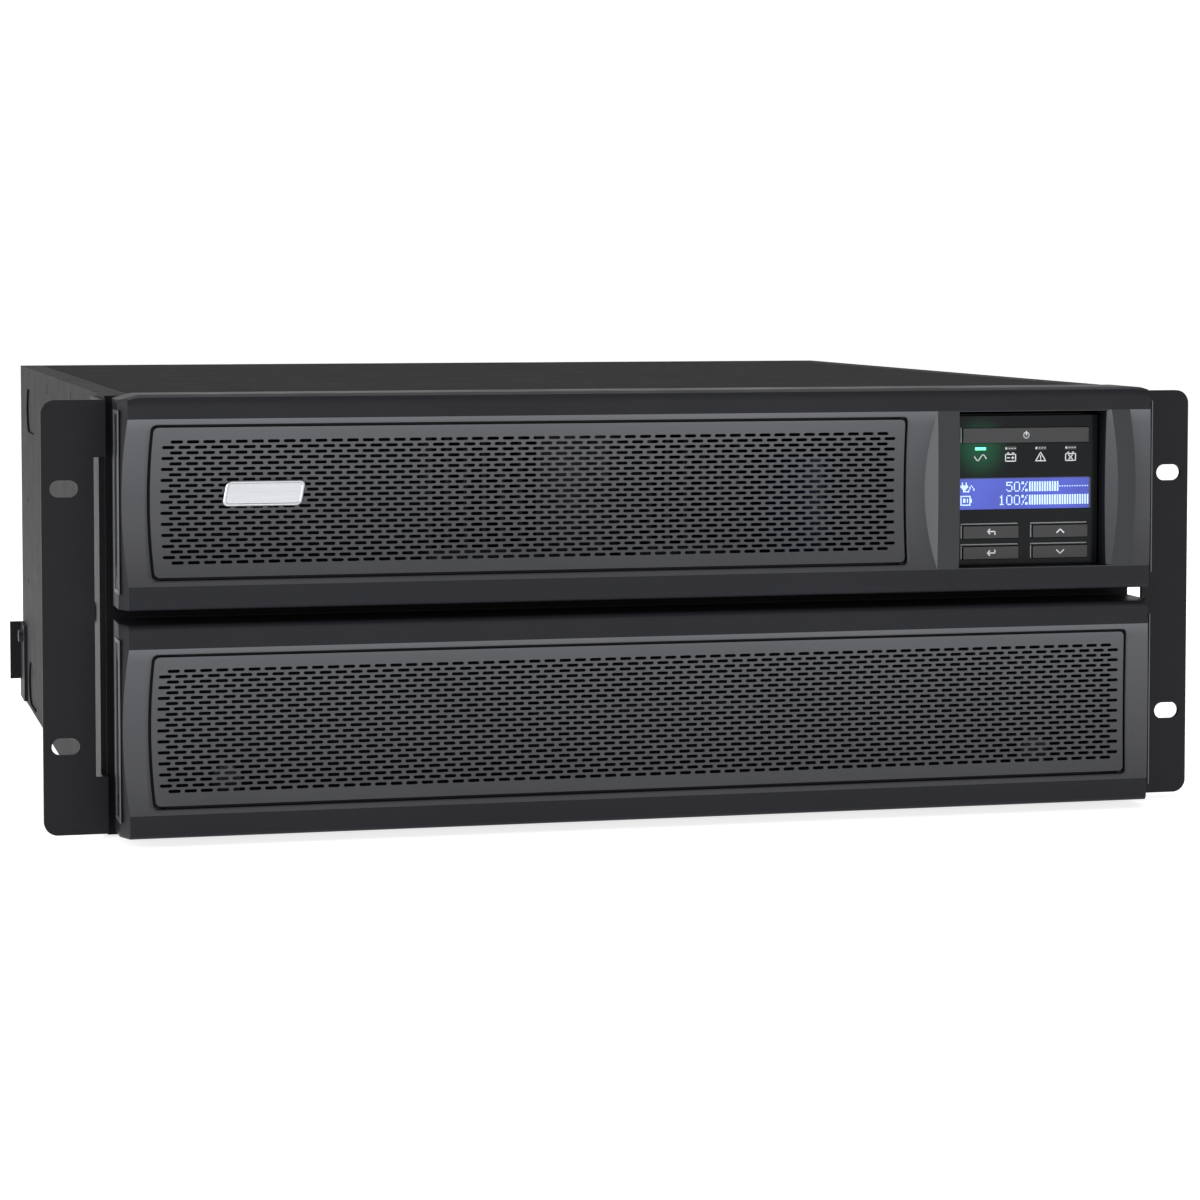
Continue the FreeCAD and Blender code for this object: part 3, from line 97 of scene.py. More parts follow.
class Nodes:
    """A material under construction, with short ways to add its nodes."""

    def __init__(self, name):
        self.material = bpy.data.materials.new(name)
        self.material.use_nodes = True
        self.tree = self.material.node_tree
        self.shader = self.tree.nodes["Principled BSDF"]
        self.place = self.tree.nodes.new("ShaderNodeTexCoord").outputs["Object"]

    def add(self, kind, **values):
        """Adds a node and sets its inputs by name."""
        item = self.tree.nodes.new(kind)
        for key, value in values.items():
            item.inputs[key.replace("_", " ")].default_value = value
        return item

    def link(self, source, target):
        """Joins an output to an input."""
        self.tree.links.new(source, target)

    def set(self, **values):
        """Sets plain values on the shader itself."""
        for key, value in values.items():
            self.shader.inputs[key.replace("_", " ")].default_value = value

    def noise(self, scale, detail=3.0, roughness=0.5, stretch=None):
        """Noise over the piece's own space, in cycles per metre."""
        item = self.add("ShaderNodeTexNoise", Scale=scale, Detail=detail,
                        Roughness=roughness)
        source = self.place
        if stretch:
            mapping = self.add("ShaderNodeMapping", Scale=stretch)
            self.link(source, mapping.inputs["Vector"])
            source = mapping.outputs["Vector"]
        self.link(source, item.inputs["Vector"])
        return item.outputs["Fac"]

    def ramp(self, source, stops):
        """A colour ramp with (position, colour or grey) stops."""
        item = self.tree.nodes.new("ShaderNodeValToRGB")
        elements = item.color_ramp.elements
        while len(elements) < len(stops):
            elements.new(0.5)
        for element, (position, colour) in zip(elements, stops):
            element.position = position
            if not isinstance(colour, tuple):
                colour = (colour,) * 3
            element.color = (*colour, 1.0)
        self.link(source, item.inputs["Fac"])
        return item.outputs["Color"]

    def by_height(self, stops):
        """A ramp over the height of the piece, with (height in mm, grey) stops."""
        split = self.tree.nodes.new("ShaderNodeSeparateXYZ")
        self.link(self.place, split.inputs["Vector"])
        low, high = stops[0][0], stops[-1][0]
        span = self.add("ShaderNodeMapRange", From_Min=low * MM, From_Max=high * MM)
        self.link(split.outputs["Z"], span.inputs["Value"])
        return self.ramp(span.outputs["Result"],
                         [((place - low) / (high - low), grey / 2) for place, grey in stops])

    def times(self, first, second):
        """Multiplies two colours; the second is held at half its strength."""
        item = self.tree.nodes.new("ShaderNodeVectorMath")
        item.operation = "MULTIPLY"
        self.link(first, item.inputs[0])
        self.link(second, item.inputs[1])
        double = self.tree.nodes.new("ShaderNodeVectorMath")
        double.operation = "SCALE"
        double.inputs["Scale"].default_value = 2.0
        self.link(item.outputs["Vector"], double.inputs[0])
        return double.outputs["Vector"]

    def bump(self, source, strength, distance):
        """Bumps the shader's surface, after any bump already there."""
        item = self.add("ShaderNodeBump", Strength=strength, Distance=distance)
        self.link(source, item.inputs["Height"])
        before = self.shader.inputs["Normal"].links
        if before:
            self.link(before[0].from_socket, item.inputs["Normal"])
        self.link(item.outputs["Normal"], self.shader.inputs["Normal"])


def shade(colour, factor):
    """A colour made lighter or darker."""
    return tuple(min(1.0, part * factor) for part in colour)


def moulded(name, colour, roughness=0.42, grain=2600.0, depth=0.00006, level=0.5,
            painted_light=None):
    """Moulded plastic: fine spark-eroded grain, faint flow marks, uneven gloss.

    The painted light and shade by height, if given, lists heights in mm and how much lighter or
    darker the plastic is painted there.
    """
    m = Nodes(name)
    tone = m.ramp(m.noise(9.0, 4.0), [(0.3, shade(colour, 0.92)), (0.7, shade(colour, 1.08))])
    # Painted light and shade by height, multiplied into the plastic's tone.
    if painted_light:
        tone = m.times(tone, m.by_height(painted_light))
    m.link(tone, m.shader.inputs["Base Color"])
    m.link(m.ramp(m.noise(38.0, 5.0), [(0.3, roughness - 0.04), (0.7, roughness + 0.05)]),
           m.shader.inputs["Roughness"])
    m.bump(m.noise(grain, 2.0), 0.35, depth)
    m.set(Specular_IOR_Level=level)
    return m.material


def coated(name, colour, roughness=0.5, metallic=0.0, level=0.5, orange=900.0, depth=0.00012):
    """Powder-coated sheet: orange-peel bump, mottled gloss and slight rub marks."""
    m = Nodes(name)
    wide = m.noise(14.0, 5.0, 0.6)
    m.link(m.ramp(wide, [(0.3, shade(colour, 0.94)), (0.7, shade(colour, 1.06))]),
           m.shader.inputs["Base Color"])
    m.link(m.ramp(m.noise(60.0, 6.0, 0.65), [(0.3, roughness - 0.03), (0.75, roughness + 0.04)]),
           m.shader.inputs["Roughness"])
    m.bump(m.noise(orange, 3.0), 0.4, depth)
    m.set(Metallic=metallic, Specular_IOR_Level=level)
    return m.material


def brushed(name, colour, roughness=0.3, along=(6.0, 420.0, 420.0)):
    """Bare metal with fine lines in one direction and patchy gloss."""
    m = Nodes(name)
    lines = m.noise(6.0, 6.0, 0.7, stretch=along)
    m.link(m.ramp(lines, [(0.25, shade(colour, 0.82)), (0.75, shade(colour, 1.1))]),
           m.shader.inputs["Base Color"])
    m.link(m.ramp(m.noise(35.0, 4.0), [(0.3, roughness - 0.06), (0.7, roughness + 0.1)]),
           m.shader.inputs["Roughness"])
    m.bump(lines, 0.25, 0.00004)
    m.set(Metallic=1.0)
    return m.material


def glossy(name, colour, roughness=0.08, coat=0.5):
    """Polished plastic with faint handling smears in its gloss."""
    m = Nodes(name)
    m.link(m.ramp(m.noise(22.0, 3.0), [(0.3, shade(colour, 0.9)), (0.7, shade(colour, 1.15))]),
           m.shader.inputs["Base Color"])
    m.link(m.ramp(m.noise(45.0, 6.0, 0.7), [(0.35, roughness), (0.75, roughness + 0.09)]),
           m.shader.inputs["Roughness"])
    m.bump(m.noise(400.0, 2.0), 0.08, 0.00003)
    m.set(Coat_Weight=coat, Coat_Roughness=0.06)
    return m.material


def glowing(name, colour, strength, spread_colour=None):
    """A lit plastic surface whose brightness varies a little across it."""
    m = Nodes(name)
    dark = spread_colour or shade(colour, 0.75)
    mix = m.ramp(m.noise(55.0, 3.0), [(0.3, dark), (0.7, colour)])
    m.link(mix, m.shader.inputs["Base Color"])
    m.link(mix, m.shader.inputs["Emission Color"])
    m.set(Emission_Strength=strength, Roughness=0.25)
    return m.material


def lit_face(name, colour):
    """Polished black plastic that glows a little round the lit lamp."""
    material = glossy(name, colour, 0.12, 0.0)
    tree = material.node_tree
    shader = tree.nodes["Principled BSDF"]
    low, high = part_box("status_lamps")
    lamp = ((low.x + 0.0025), low.y, (low.z + high.z) / 2)
    place = tree.nodes.new("ShaderNodeTexCoord")
    apart = tree.nodes.new("ShaderNodeVectorMath")
    apart.operation = "DISTANCE"
    apart.inputs[1].default_value = lamp
    tree.links.new(place.outputs["Object"], apart.inputs[0])
    far = tree.nodes.new("ShaderNodeMapRange")
    far.inputs["From Max"].default_value = 0.016
    far.inputs["To Min"].default_value = 1.0
    far.inputs["To Max"].default_value = 0.0
    far.interpolation_type = "SMOOTHERSTEP"
    tree.links.new(apart.outputs["Value"], far.inputs["Value"])
    ramp = tree.nodes.new("ShaderNodeValToRGB")
    ramp.color_ramp.elements[0].color = (0.0, 0.0, 0.0, 1.0)
    ramp.color_ramp.elements[1].color = (0.004, 0.075, 0.03, 1.0)
    tree.links.new(far.outputs["Result"], ramp.inputs["Fac"])
    tree.links.new(ramp.outputs["Color"], shader.inputs["Emission Color"])
    shader.inputs["Emission Strength"].default_value = 1.0
    shader.inputs["Specular IOR Level"].default_value = 0.12
    return material


def circuit(name):
    """Green circuit board: solder mask with copper traces showing as paler lines."""
    m = Nodes(name)
    cells = m.add("ShaderNodeTexVoronoi", Scale=260.0)
    cells.distance = "MANHATTAN"
    cells.feature = "DISTANCE_TO_EDGE"
    m.link(m.place, cells.inputs["Vector"])
    lines = m.ramp(cells.outputs["Distance"],
                   [(0.02, (0.02, 0.17, 0.07)), (0.06, (0.008, 0.085, 0.035))])
    m.link(lines, m.shader.inputs["Base Color"])
    m.bump(cells.outputs["Distance"], 0.2, 0.00003)
    m.set(Roughness=0.32, Coat_Weight=0.3, Coat_Roughness=0.15)
    return m.material


CHARCOAL = (0.016, 0.0165, 0.02)
ZONE_GREY = (0.062, 0.0635, 0.07)
# Heights in mm of the two scooped zones, and how much lighter or darker their plastic is painted
# there: painted light and shade, darker at the foot of each scoop and lighter towards its top.
ZONE_PAINTED_LIGHT = ((10, 0.75), (45, 1.05), (72, 1.3), (78, 1.9), (100, 0.75), (134, 1.0),
             (161, 1.4), (167, 2.0))
MATERIALS = {
    "sheet_metal": coated("black powder coat", (0.011, 0.011, 0.0125), 0.6, 0.0, 0.02),
    "side_metal": coated("side powder coat", (0.011, 0.011, 0.0125), 0.5, 0.0, 0.03),
    "ear_metal": coated("ear powder coat", (0.014, 0.014, 0.017), 0.5, 0.0, 0.12),
    "bezel_plastic": moulded("charcoal bezel plastic", CHARCOAL, 0.4, level=0.12),
    # The zone's plastic carries the painted light and shade by height.
    "bezel_zone": moulded("paler scooped zone", ZONE_GREY, 0.42, 3000.0, level=0.25,
                          painted_light=ZONE_PAINTED_LIGHT),
    "bezel_pod": moulded("display surround", (0.032, 0.034, 0.037), 0.4, level=0.2),
    # A lighter copy of the zone's plastic for the pod's sloped left side: a painted highlight
    # where the light from the left falls on it.
    "bezel_rise_painted_highlight": moulded("painted highlight on the scoop's rise", shade(ZONE_GREY, 1.5), 0.38, 3000.0),
    # The grille carries the same painted light and shade by height as the zone.
    "grille_metal": moulded("dark grille paint", ZONE_GREY, 0.42, 3200.0, level=0.25,
                            painted_light=ZONE_PAINTED_LIGHT),
    "badge_metal": brushed("satin badge", (0.5, 0.51, 0.53), 0.3),
    "display_gloss": lit_face("gloss black face", (0.008, 0.009, 0.01)),
    "display_shell": moulded("matt black shell", (0.008, 0.008, 0.009), 0.5, level=0.1),
    "screen": glowing("blue back light", (0.05, 0.075, 0.42), 0.6, (0.035, 0.05, 0.33)),
    "lamp": glossy("clear lamp", (0.035, 0.037, 0.04), 0.15),
    "key_plastic": glossy("satin key", (0.014, 0.0145, 0.017), 0.28, 0.0),
    "zinc_steel": brushed("zinc plate", (0.56, 0.57, 0.58), 0.34),
    "fastener": brushed("blackened screw", (0.05, 0.05, 0.055), 0.35),
    "battery_case": moulded("battery case", (0.05, 0.05, 0.055), 0.5),
    "lead_rubber": moulded("lead insulation", (0.22, 0.012, 0.01), 0.5),
    "connector": moulded("black connector", (0.01, 0.01, 0.011), 0.38),
    "fan_plastic": moulded("black fan", (0.014, 0.014, 0.016), 0.36),
    "board": circuit("circuit board"),
    "heat_metal": brushed("black anodised fins", (0.03, 0.03, 0.034), 0.4),
    "core_steel": brushed("laminations", (0.3, 0.3, 0.31), 0.45, (420.0, 6.0, 6.0)),
    "copper": brushed("varnished winding", (0.6, 0.25, 0.1), 0.3, (6.0, 6.0, 900.0)),
    "component": moulded("sleeved part", (0.02, 0.05, 0.16), 0.3),
}
# Pale plastic for the raised end frames: a painted highlight for the end walls lit from the
# side.
FRAME_PAINTED_HIGHLIGHT = moulded("end frame painted highlight", (0.1, 0.102, 0.11), 0.35)
# Pale plastic for the key lips: a painted highlight for the lit walls and ridges of the key
# pockets.
LIP_PAINTED_HIGHLIGHT = moulded("painted highlight on key lips", (0.2, 0.205, 0.21), 0.3)
LIT_GREEN = glowing("lit green", (0.1, 1.0, 0.42), 3.2, (0.05, 0.8, 0.3))
# White print that also glows faintly: real print, brightened by a painted glow.
MARK_WHITE_PAINTED_GLOW = glowing("printed white with painted glow", (0.7, 0.72, 0.74), 0.25)
DOT_WHITE = glowing("lit dots", (0.5, 0.66, 0.9), 0.8, (0.42, 0.58, 0.86))


CARD_THICK = 1.6
EDGE_WIDTHS = {    # rounding of the edges, in mm
    "rack_ear_left": 0.5, "rack_ear_right": 0.5, "top_cover": 0.3, "side_panel_left": 0.35,
    "side_panel_right": 0.35, "rear_panel": 0.25, "front_panel": 0.25, "rear_brackets": 0.4,
    "card_face": 0.3, "drawer_front": 0.3, "drawer_handle": 1.2, "battery_blocks": 1.2,
    "display_face": 0.2, "outlets": 0.35, "mains_inlet": 0.35, "signal_jacks": 0.3,
    "battery_link_socket": 0.4, "fan_frame_left": 0.5, "fan_frame_right": 0.5, "breakers": 0.4,
    "breaker_button_lower": 0.4, "breaker_button_upper": 0.4, "outer_screws": 0.35,
    "drawer_screw_left": 0.3, "drawer_screw_right": 0.3, "capacitors": 1.0,
    "relays_and_chokes": 0.5, "transformer_core": 0.5, "transformer_coil": 1.5,
    "display_housing": 0.3, "power_button": 0.6, "back_button": 0.6, "up_button": 0.6,
    "enter_button": 0.6, "down_button": 0.6, "status_lamps": 0.2,
}


def finish_nodes():
    """Gives every CAD node its finish, and softens the edges of the folded and moulded."""
    for part in frame["record"]["subparts"]:
        item = frame["nodes"][part["node"]]
        item.data.materials.clear()
        finish = part["material_slot"]
        if part["node"].startswith("side_panel"):
            finish = "side_metal"
        elif part["node"] in ("drawer_handle", "fan_guards"):
            finish = "display_shell"
        item.data.materials.append(MATERIALS[finish])
    card = frame["nodes"]["network_card"]
    card.data.materials.append(MATERIALS["connector"])
    board_top = node_box("network_card")[0].z + CARD_THICK
    for face in card.data.polygons:
        if (card.matrix_world @ face.center).z / MM > board_top + 0.1:
            face.material_index = 1
    for name, width in EDGE_WIDTHS.items():
        bevel = frame["nodes"][name].modifiers.new("soft edges", "BEVEL")
        bevel.width = width * MM
        bevel.segments = 3
        bevel.limit_method = "ANGLE"
        bevel.angle_limit = math.radians(50)


# ---------------------------------------------------------------- bezels

CROWN = 1.5
SCOOP = 5.5
ZONE_TALL = 64.7
PLATE_TALL = 58.0
GROOVE = 1.2
FACE_HALF = 210.65
FACET_DEEP = 8.0
SHELL = 2.4
CORNER = 2.2
GRILLE_BULGE = 1.3
LENS_ENDS = 1.5
LENS_BOW = 2.7
LEDGE_SINK = 1.9
LEDGE_WIDE = 3.2
OPENING_GAP = 0.7
OPENING_BACK = -231.5
OPENING_INSET = 0.35    # how far the opening's ends lie inside the zone's height
POD_LEFT_WIDE = 9.3
POD_RIGHT_WIDE = 9.6
POD_BOW = 2.4
LEFT_RISE = 0.72        # sideways run of the pod's left side for each mm of depth
RIGHT_RISE = 0.3        # and of its right side
LENS_SLOPE = 0.9
END_FINGER = 1.6        # depth of the finger groove in the end walls
FINISHES = ("bezel_plastic", "bezel_zone", "bezel_pod", "bezel_rise_painted_highlight", "display_shell")


class Bezel:
    """The shape of one bezel's front, worked out from its CAD node."""

    def __init__(self, word):
        self.word = word
        self.low, self.high = node_box(word + "_bezel")
        self.half = self.high.x
        self.middle = (self.low.z + self.high.z) / 2
        self.tall = self.high.z - self.low.z
        grille_low, grille_high = node_box(word + "_grille")
        self.left, self.right = grille_low.x, grille_high.x
        self.edge = self.low.y + CROWN
        self.has_display = word == "upper"
        self.round_top = 3.2 if self.has_display else 2.2
        self.round_low = 2.0
        if self.has_display:
            face_low, face_high = node_box("display_face")
            self.open_left = face_low.x - OPENING_GAP
            self.open_right = face_high.x + OPENING_GAP
            self.pod_left = self.open_left - POD_LEFT_WIDE
            self.pod_right = self.open_right + POD_RIGHT_WIDE
            self.open_low = self.middle - ZONE_TALL / 2 + OPENING_INSET
            self.open_high = self.middle + ZONE_TALL / 2 - OPENING_INSET

    def across(self, z):
        """How far a height is from the middle of the zone: -1 at its foot, 1 at its top."""
        return max(-1.0, min(1.0, (z - self.middle) / (ZONE_TALL / 2)))

    def face(self, z):
        """Depth of the crowned face at a height."""
        return self.low.y + CROWN * ((z - self.middle) / (self.tall / 2)) ** 2

    def scoop(self, z):
        """How far the grille zone lies behind the face at a height."""
        return SCOOP * (1 - self.across(z) ** 2)

    def pod_foot(self, z):
        """Where the pod's sloped left side meets the zone."""
        return self.pod_left - LEFT_RISE * self.scoop(z)

    def pod_edge(self, z):
        """The bowed right edge of the pod's face."""
        return self.pod_right + POD_BOW * (1 - self.across(z) ** 2)

    def end_foot(self, z):
        """Where the pod's sloped right side meets the end of the zone."""
        return self.pod_edge(z) + RIGHT_RISE * self.scoop(z)

    def lens(self, z):
        """The bowed edge of the sloped facet beside the display opening."""
        return self.open_right + LENS_ENDS + LENS_BOW * (1 - self.across(z) ** 2)

    def facet_foot(self, z):
        """Where the sloped end meets the face or the deeper zone."""
        return FACE_HALF + self.scoop(z) * (self.half - FACE_HALF) / FACET_DEEP

    def depth(self, x, z):
        """How far the surface lies behind the face at a point."""
        scoop = self.scoop(z)
        if self.has_display:
            if x > self.pod_left and x < self.pod_edge(z):
                scoop = 0.0
                beside = self.open_low + 0.01 < z < self.open_high - 0.01
                if beside and self.open_right - 0.01 <= x < self.lens(z):
                    scoop = (self.lens(z) - x) * LENS_SLOPE
            elif x <= self.pod_left:
                scoop = min(scoop, (self.pod_left - x) / LEFT_RISE)
            else:
                scoop = min(scoop, (x - self.pod_edge(z)) / RIGHT_RISE)
        facet = max(0.0, abs(x) - FACE_HALF) * FACET_DEEP / (self.half - FACE_HALF)
        return max(scoop, facet)

    def surface(self, x, z):
        """Y of the bezel's front at a point, in millimetres."""
        return self.face(z) + self.depth(x, z)

    def bow(self, x, z):
        """Sideways shift that bows the grille's ends outwards."""
        lift = 1 - min(1.0, ((z - self.middle) / (PLATE_TALL / 2)) ** 2)
        reach = 40.0
        near_left = max(0.0, 1 - (x - self.left) / reach)
        near_right = max(0.0, 1 - (self.right - x) / reach)
        right_bulge = 0.5 if self.has_display else GRILLE_BULGE
        return lift * (right_bulge * min(1.05, near_right) - GRILLE_BULGE * min(1.05, near_left))

    def columns(self):
        """Across the front: functions from a height to an x, left to right."""
        def fixed(x):
            return lambda z: x

        def bowed(x):
            return lambda z: x + self.bow(x, z)

        def between(start, end, share):
            return lambda z: start(z) + (end(z) - start(z)) * share

        window_left, window_right = self.left - GROOVE, self.right + GROOVE
        stops = [(fixed(-self.half), 2), (lambda z: -self.facet_foot(z), 2),
                 (fixed(-FACE_HALF + 3), 3),
                 (bowed(window_left), 1), (bowed(window_left + CORNER), 36),
                 (bowed(window_right - CORNER), 1), (bowed(window_right), 3)]
        if self.has_display:
            stops += [(self.pod_foot, 3), (fixed(self.pod_left), 3),
                      (fixed(self.open_left), 12), (fixed(self.open_right), 3),
                      (self.lens, 3), (self.pod_edge, 2), (self.end_foot, 3)]
        else:
            stops += [(fixed(FACE_HALF - 3), 3)]
        stops += [(self.facet_foot, 2), (fixed(self.half), 0)]
        lines = []
        for (start, count), (end, _) in zip(stops, stops[1:]):
            lines += [between(start, end, step / count) for step in range(count)]
        return lines + [stops[-1][0]]

    def rows(self):
        """Up the front: (height, extra depth of the rounded edge), bottom to top."""
        zone_low, zone_high = self.middle - ZONE_TALL / 2, self.middle + ZONE_TALL / 2
        window_low = self.middle - PLATE_TALL / 2 - GROOVE
        window_high = self.middle + PLATE_TALL / 2 + GROOVE
        rows = []
        for step in range(5):
            angle = math.radians(90 - 22.5 * step)
            rows.append((self.low.z + self.round_low * (1 - math.sin(angle)),
                         self.round_low * (1 - math.cos(angle))))
        heights = spread(self.low.z + self.round_low, zone_low, 4)[1:]
        heights += spread(zone_low, window_low, 3)
        heights += [window_low]
        heights += spread(window_low + CORNER, window_high - CORNER, 30)
        heights += [window_high - CORNER]
        heights += spread(window_high, zone_high, 3)
        heights += spread(zone_high, self.high.z - self.round_top, 4)
        if self.has_display:
            heights = [h for h in heights if min(abs(h - self.open_low),
                                                 abs(h - self.open_high)) > 0.3]
            heights += [self.open_low, self.open_high]
        rows += [(height, 0.0) for height in sorted(heights)]
        for step in range(5):
            angle = math.radians(22.5 * step)
            rows.append((self.high.z - self.round_top * (1 - math.sin(angle)),
                         self.round_top * (1 - math.cos(angle))))
        return rows

    def in_grille(self, x, z, margin=0.0):
        """Whether a point lies in the grille's window, with square corners."""
        reach_x = self.left - GROOVE - margin, self.right + GROOVE + margin
        tall = PLATE_TALL / 2 + GROOVE + margin
        x -= self.bow(x, z)
        return reach_x[0] < x < reach_x[1] and abs(z - self.middle) < tall

    def finish(self, x, z):
        """The finish of a point of the front: face, zone, pod, or the pod's sloped left side
        with its painted highlight.
        """
        if abs(z - self.middle) > ZONE_TALL / 2 or abs(x) > self.facet_foot(z):
            return "bezel_plastic"
        if self.has_display:
            # The pod's sloped left side takes the painted highlight.
            if self.pod_foot(z) < x < self.pod_left:
                return "bezel_rise_painted_highlight"
            on_lens = self.open_right < x < self.lens(z)
            if self.pod_left < x < self.pod_edge(z) and not on_lens:
                return "bezel_pod"
        return "bezel_zone"

    def in_opening(self, x, z):
        """Whether a point lies in the display opening."""
        return (self.has_display and self.open_left < x < self.open_right
                and self.open_low < z < self.open_high)


def build_bezel(word):
    """The moulded bezel shell, which stands for the CAD bezel."""
    shape = Bezel(word)
    columns, rows = shape.columns(), shape.rows()
    back = shape.high.y
    points, faces = [], []

    def point(x, y, z):
        points.append((x, y, z))
        return len(points) - 1

    grid = []
    for z, extra in rows:
        line = []
        for column in columns:
            x = column(z)
            line.append(point(x, shape.surface(x, z) + extra, z))
        grid.append(line)
    for i in range(len(rows) - 1):
        for j in range(len(columns) - 1):
            z = (rows[i][0] + rows[i + 1][0]) / 2
            x = (columns[j](z) + columns[j + 1](z)) / 2
            if shape.in_grille(x, z) or shape.in_opening(x, z):
                continue
            faces.append((grid[i][j], grid[i][j + 1], grid[i + 1][j + 1], grid[i + 1][j]))
    add_window_corners(shape, point, faces)
    add_ledge(shape, point, faces)
    add_walls(shape, columns, rows, grid, back, point, faces)
    if shape.has_display:
        add_opening_walls(shape, rows, point, faces)
    lower_corners(shape, points)
    mesh = mesh_from(word + "_bezel_shell", points, faces)
    item = new_object(word + "_bezel_shell", mesh, MATERIALS[FINISHES[0]],
                      word + "_cover", 14)
    for name in FINISHES[1:]:
        mesh.materials.append(MATERIALS[name])
    for face in mesh.polygons:
        x, y, z = face.center / MM
        if y < shape.surface(x, z) + 0.3:
            face.material_index = FINISHES.index(shape.finish(x, z))
        elif shape.in_grille(x, z, 0.1):
            face.material_index = FINISHES.index("display_shell")
    thicken = item.modifiers.new("wall", "SOLIDIFY")
    thicken.thickness = SHELL * MM
    thicken.offset = -1.0
    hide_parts(word + "_bezel")
    return shape


def add_window_corners(shape, point, faces):
    """Fills the square corners of the grille's window out to a round corner."""
    tall = PLATE_TALL / 2 + GROOVE
    for side, edge in ((-1, shape.left - GROOVE), (1, shape.right + GROOVE)):
        for up in (-1, 1):

            def place(u, w):
                x, z = edge - side * u, shape.middle + up * (tall - w)
                x += shape.bow(x, z)
                return point(x, shape.surface(x, z), z)

            corner = place(0.0, 0.0)
            arc = []
            for step in range(7):
                angle = math.radians(15 * step)
                arc.append(place(CORNER * (1 - math.sin(angle)), CORNER * (1 - math.cos(angle))))
            faces.extend((corner, start, end) for start, end in zip(arc, arc[1:]))


def add_ledge(shape, point, faces):
    """The ledge behind the groove, which the grille's edge rests on."""
    left, right = shape.left - GROOVE, shape.right + GROOVE
    half = PLATE_TALL / 2 + GROOVE
    reach = 1.0

    def place(x, z):
        x += shape.bow(x, z)
        return point(x, shape.face(z) + shape.scoop(z) + LEDGE_SINK, z)

    def strip(outer, inner):
        for start in range(len(outer) - 1):
            corners = (outer[start], outer[start + 1], inner[start + 1], inner[start])
            faces.append(tuple(place(x, z) for x, z in corners))

    across = spread(left + LEDGE_WIDE, right - LEDGE_WIDE, 40) + [right - LEDGE_WIDE]
    upward = spread(-half - reach, half + reach, 36) + [half + reach]
    for up in (-1, 1):
        strip([(x, shape.middle + up * (half + reach)) for x in across],
              [(x, shape.middle + up * (half - LEDGE_WIDE)) for x in across])
    for edge, inner in ((left - reach, left + LEDGE_WIDE), (right + reach, right - LEDGE_WIDE)):
        strip([(edge, shape.middle + z) for z in upward],
              [(inner, shape.middle + z) for z in upward])


def add_walls(shape, columns, rows, grid, back, point, faces):
    """Top, bottom and end walls, with a ramped finger groove down each end."""
    stations = [-230.0, -229.2, -219.8, -219.0, back]
    margin, ramp = 12.0, 7.0

    def sunk(z, station):
        if not -229.5 < station < -219.5:
            return 0.0
        inside = min(z - shape.low.z, shape.high.z - z) - margin
        return END_FINGER * max(0.0, min(1.0, inside / ramp))

    for row in (0, len(rows) - 1):
        z = rows[row][0]
        previous = grid[row]
        for station in stations:
            line = [point(column(z), station, z) for column in columns]
            for j in range(len(columns) - 1):
                faces.append((previous[j], previous[j + 1], line[j + 1], line[j]))
            previous = line
    for column, side in ((0, -1), (len(columns) - 1, 1)):
        previous = [line[column] for line in grid]
        for station in stations:
            line = [point(side * (shape.half - sunk(z, station)), station, z)
                    for z, _ in rows]
            for i in range(len(rows) - 1):
                faces.append((previous[i], previous[i + 1], line[i + 1], line[i]))
            previous = line


def add_opening_walls(shape, rows, point, faces):
    """Walls that run back from the edge of the display opening."""
    heights = [z for z, _ in rows if shape.open_low - 0.01 <= z <= shape.open_high + 0.01]
    for x in (shape.open_left, shape.open_right):
        front = [point(x, shape.surface(x, z), z) for z in heights]
        rear = [point(x, OPENING_BACK, z) for z in heights]
        for i in range(len(heights) - 1):
            faces.append((front[i], front[i + 1], rear[i + 1], rear[i]))
    across = [line(shape.middle) for line in shape.columns()]
    across = [x for x in across if shape.open_left - 0.01 <= x <= shape.open_right + 0.01]
    for z in (shape.open_low, shape.open_high):
        front = [point(x, shape.surface(x, z), z) for x in across]
        rear = [point(x, OPENING_BACK, z) for x in across]
        for j in range(len(across) - 1):
            faces.append((front[j], front[j + 1], rear[j + 1], rear[j]))


def lower_corners(shape, points):
    """Slopes the upper bezel's outer top corners down a little."""
    if not shape.has_display:
        return
    start, drop, reach = FACE_HALF - 4, 2.0, 10.0
    for index, (x, y, z) in enumerate(points):
        out = (abs(x) - start) / (shape.half - start)
        up = (z - (shape.high.z - reach)) / reach
        if out > 0 and up > 0:
            points[index] = (x, y, z - drop * out * up)


# ---------------------------------------------------------------- grilles

ROWS = 23
ROW_PITCH = 2.13
SLOT_PITCH = 6.22
SLOT_LONG = 4.85
SLOT_TALL = 1.28
SLOT_MARGIN = 1.4
PLATE_THICK = 1.3
PLATE_SINK = 0.35
PLATE_CORNER = 1.8


def slot_outline():
    """Twelve points round a slot with round ends, from its upper left, clockwise."""
    radius = SLOT_TALL / 2
    straight = SLOT_LONG / 2 - radius
    top = [(-straight, radius), (-straight / 2, radius), (0, radius),
           (straight / 2, radius), (straight, radius)]
    right = [(straight + radius * math.cos(angle), radius * math.sin(angle))
             for angle in (math.pi / 4, 0.0, -math.pi / 4)]
    points = top + right
    return points + [(-x, -z) for x, z in points]


def cell_outline():
    """The same count of points round the slot's cell, matched to its outline."""
    half, tall = SLOT_PITCH / 2, ROW_PITCH / 2
    top = [(-half, tall), (-half / 2, tall), (0, tall), (half / 2, tall), (half, tall)]
    points = top + [(half, tall), (half, 0.0), (half, -tall)]
    return points + [(-x, -z) for x, z in points]


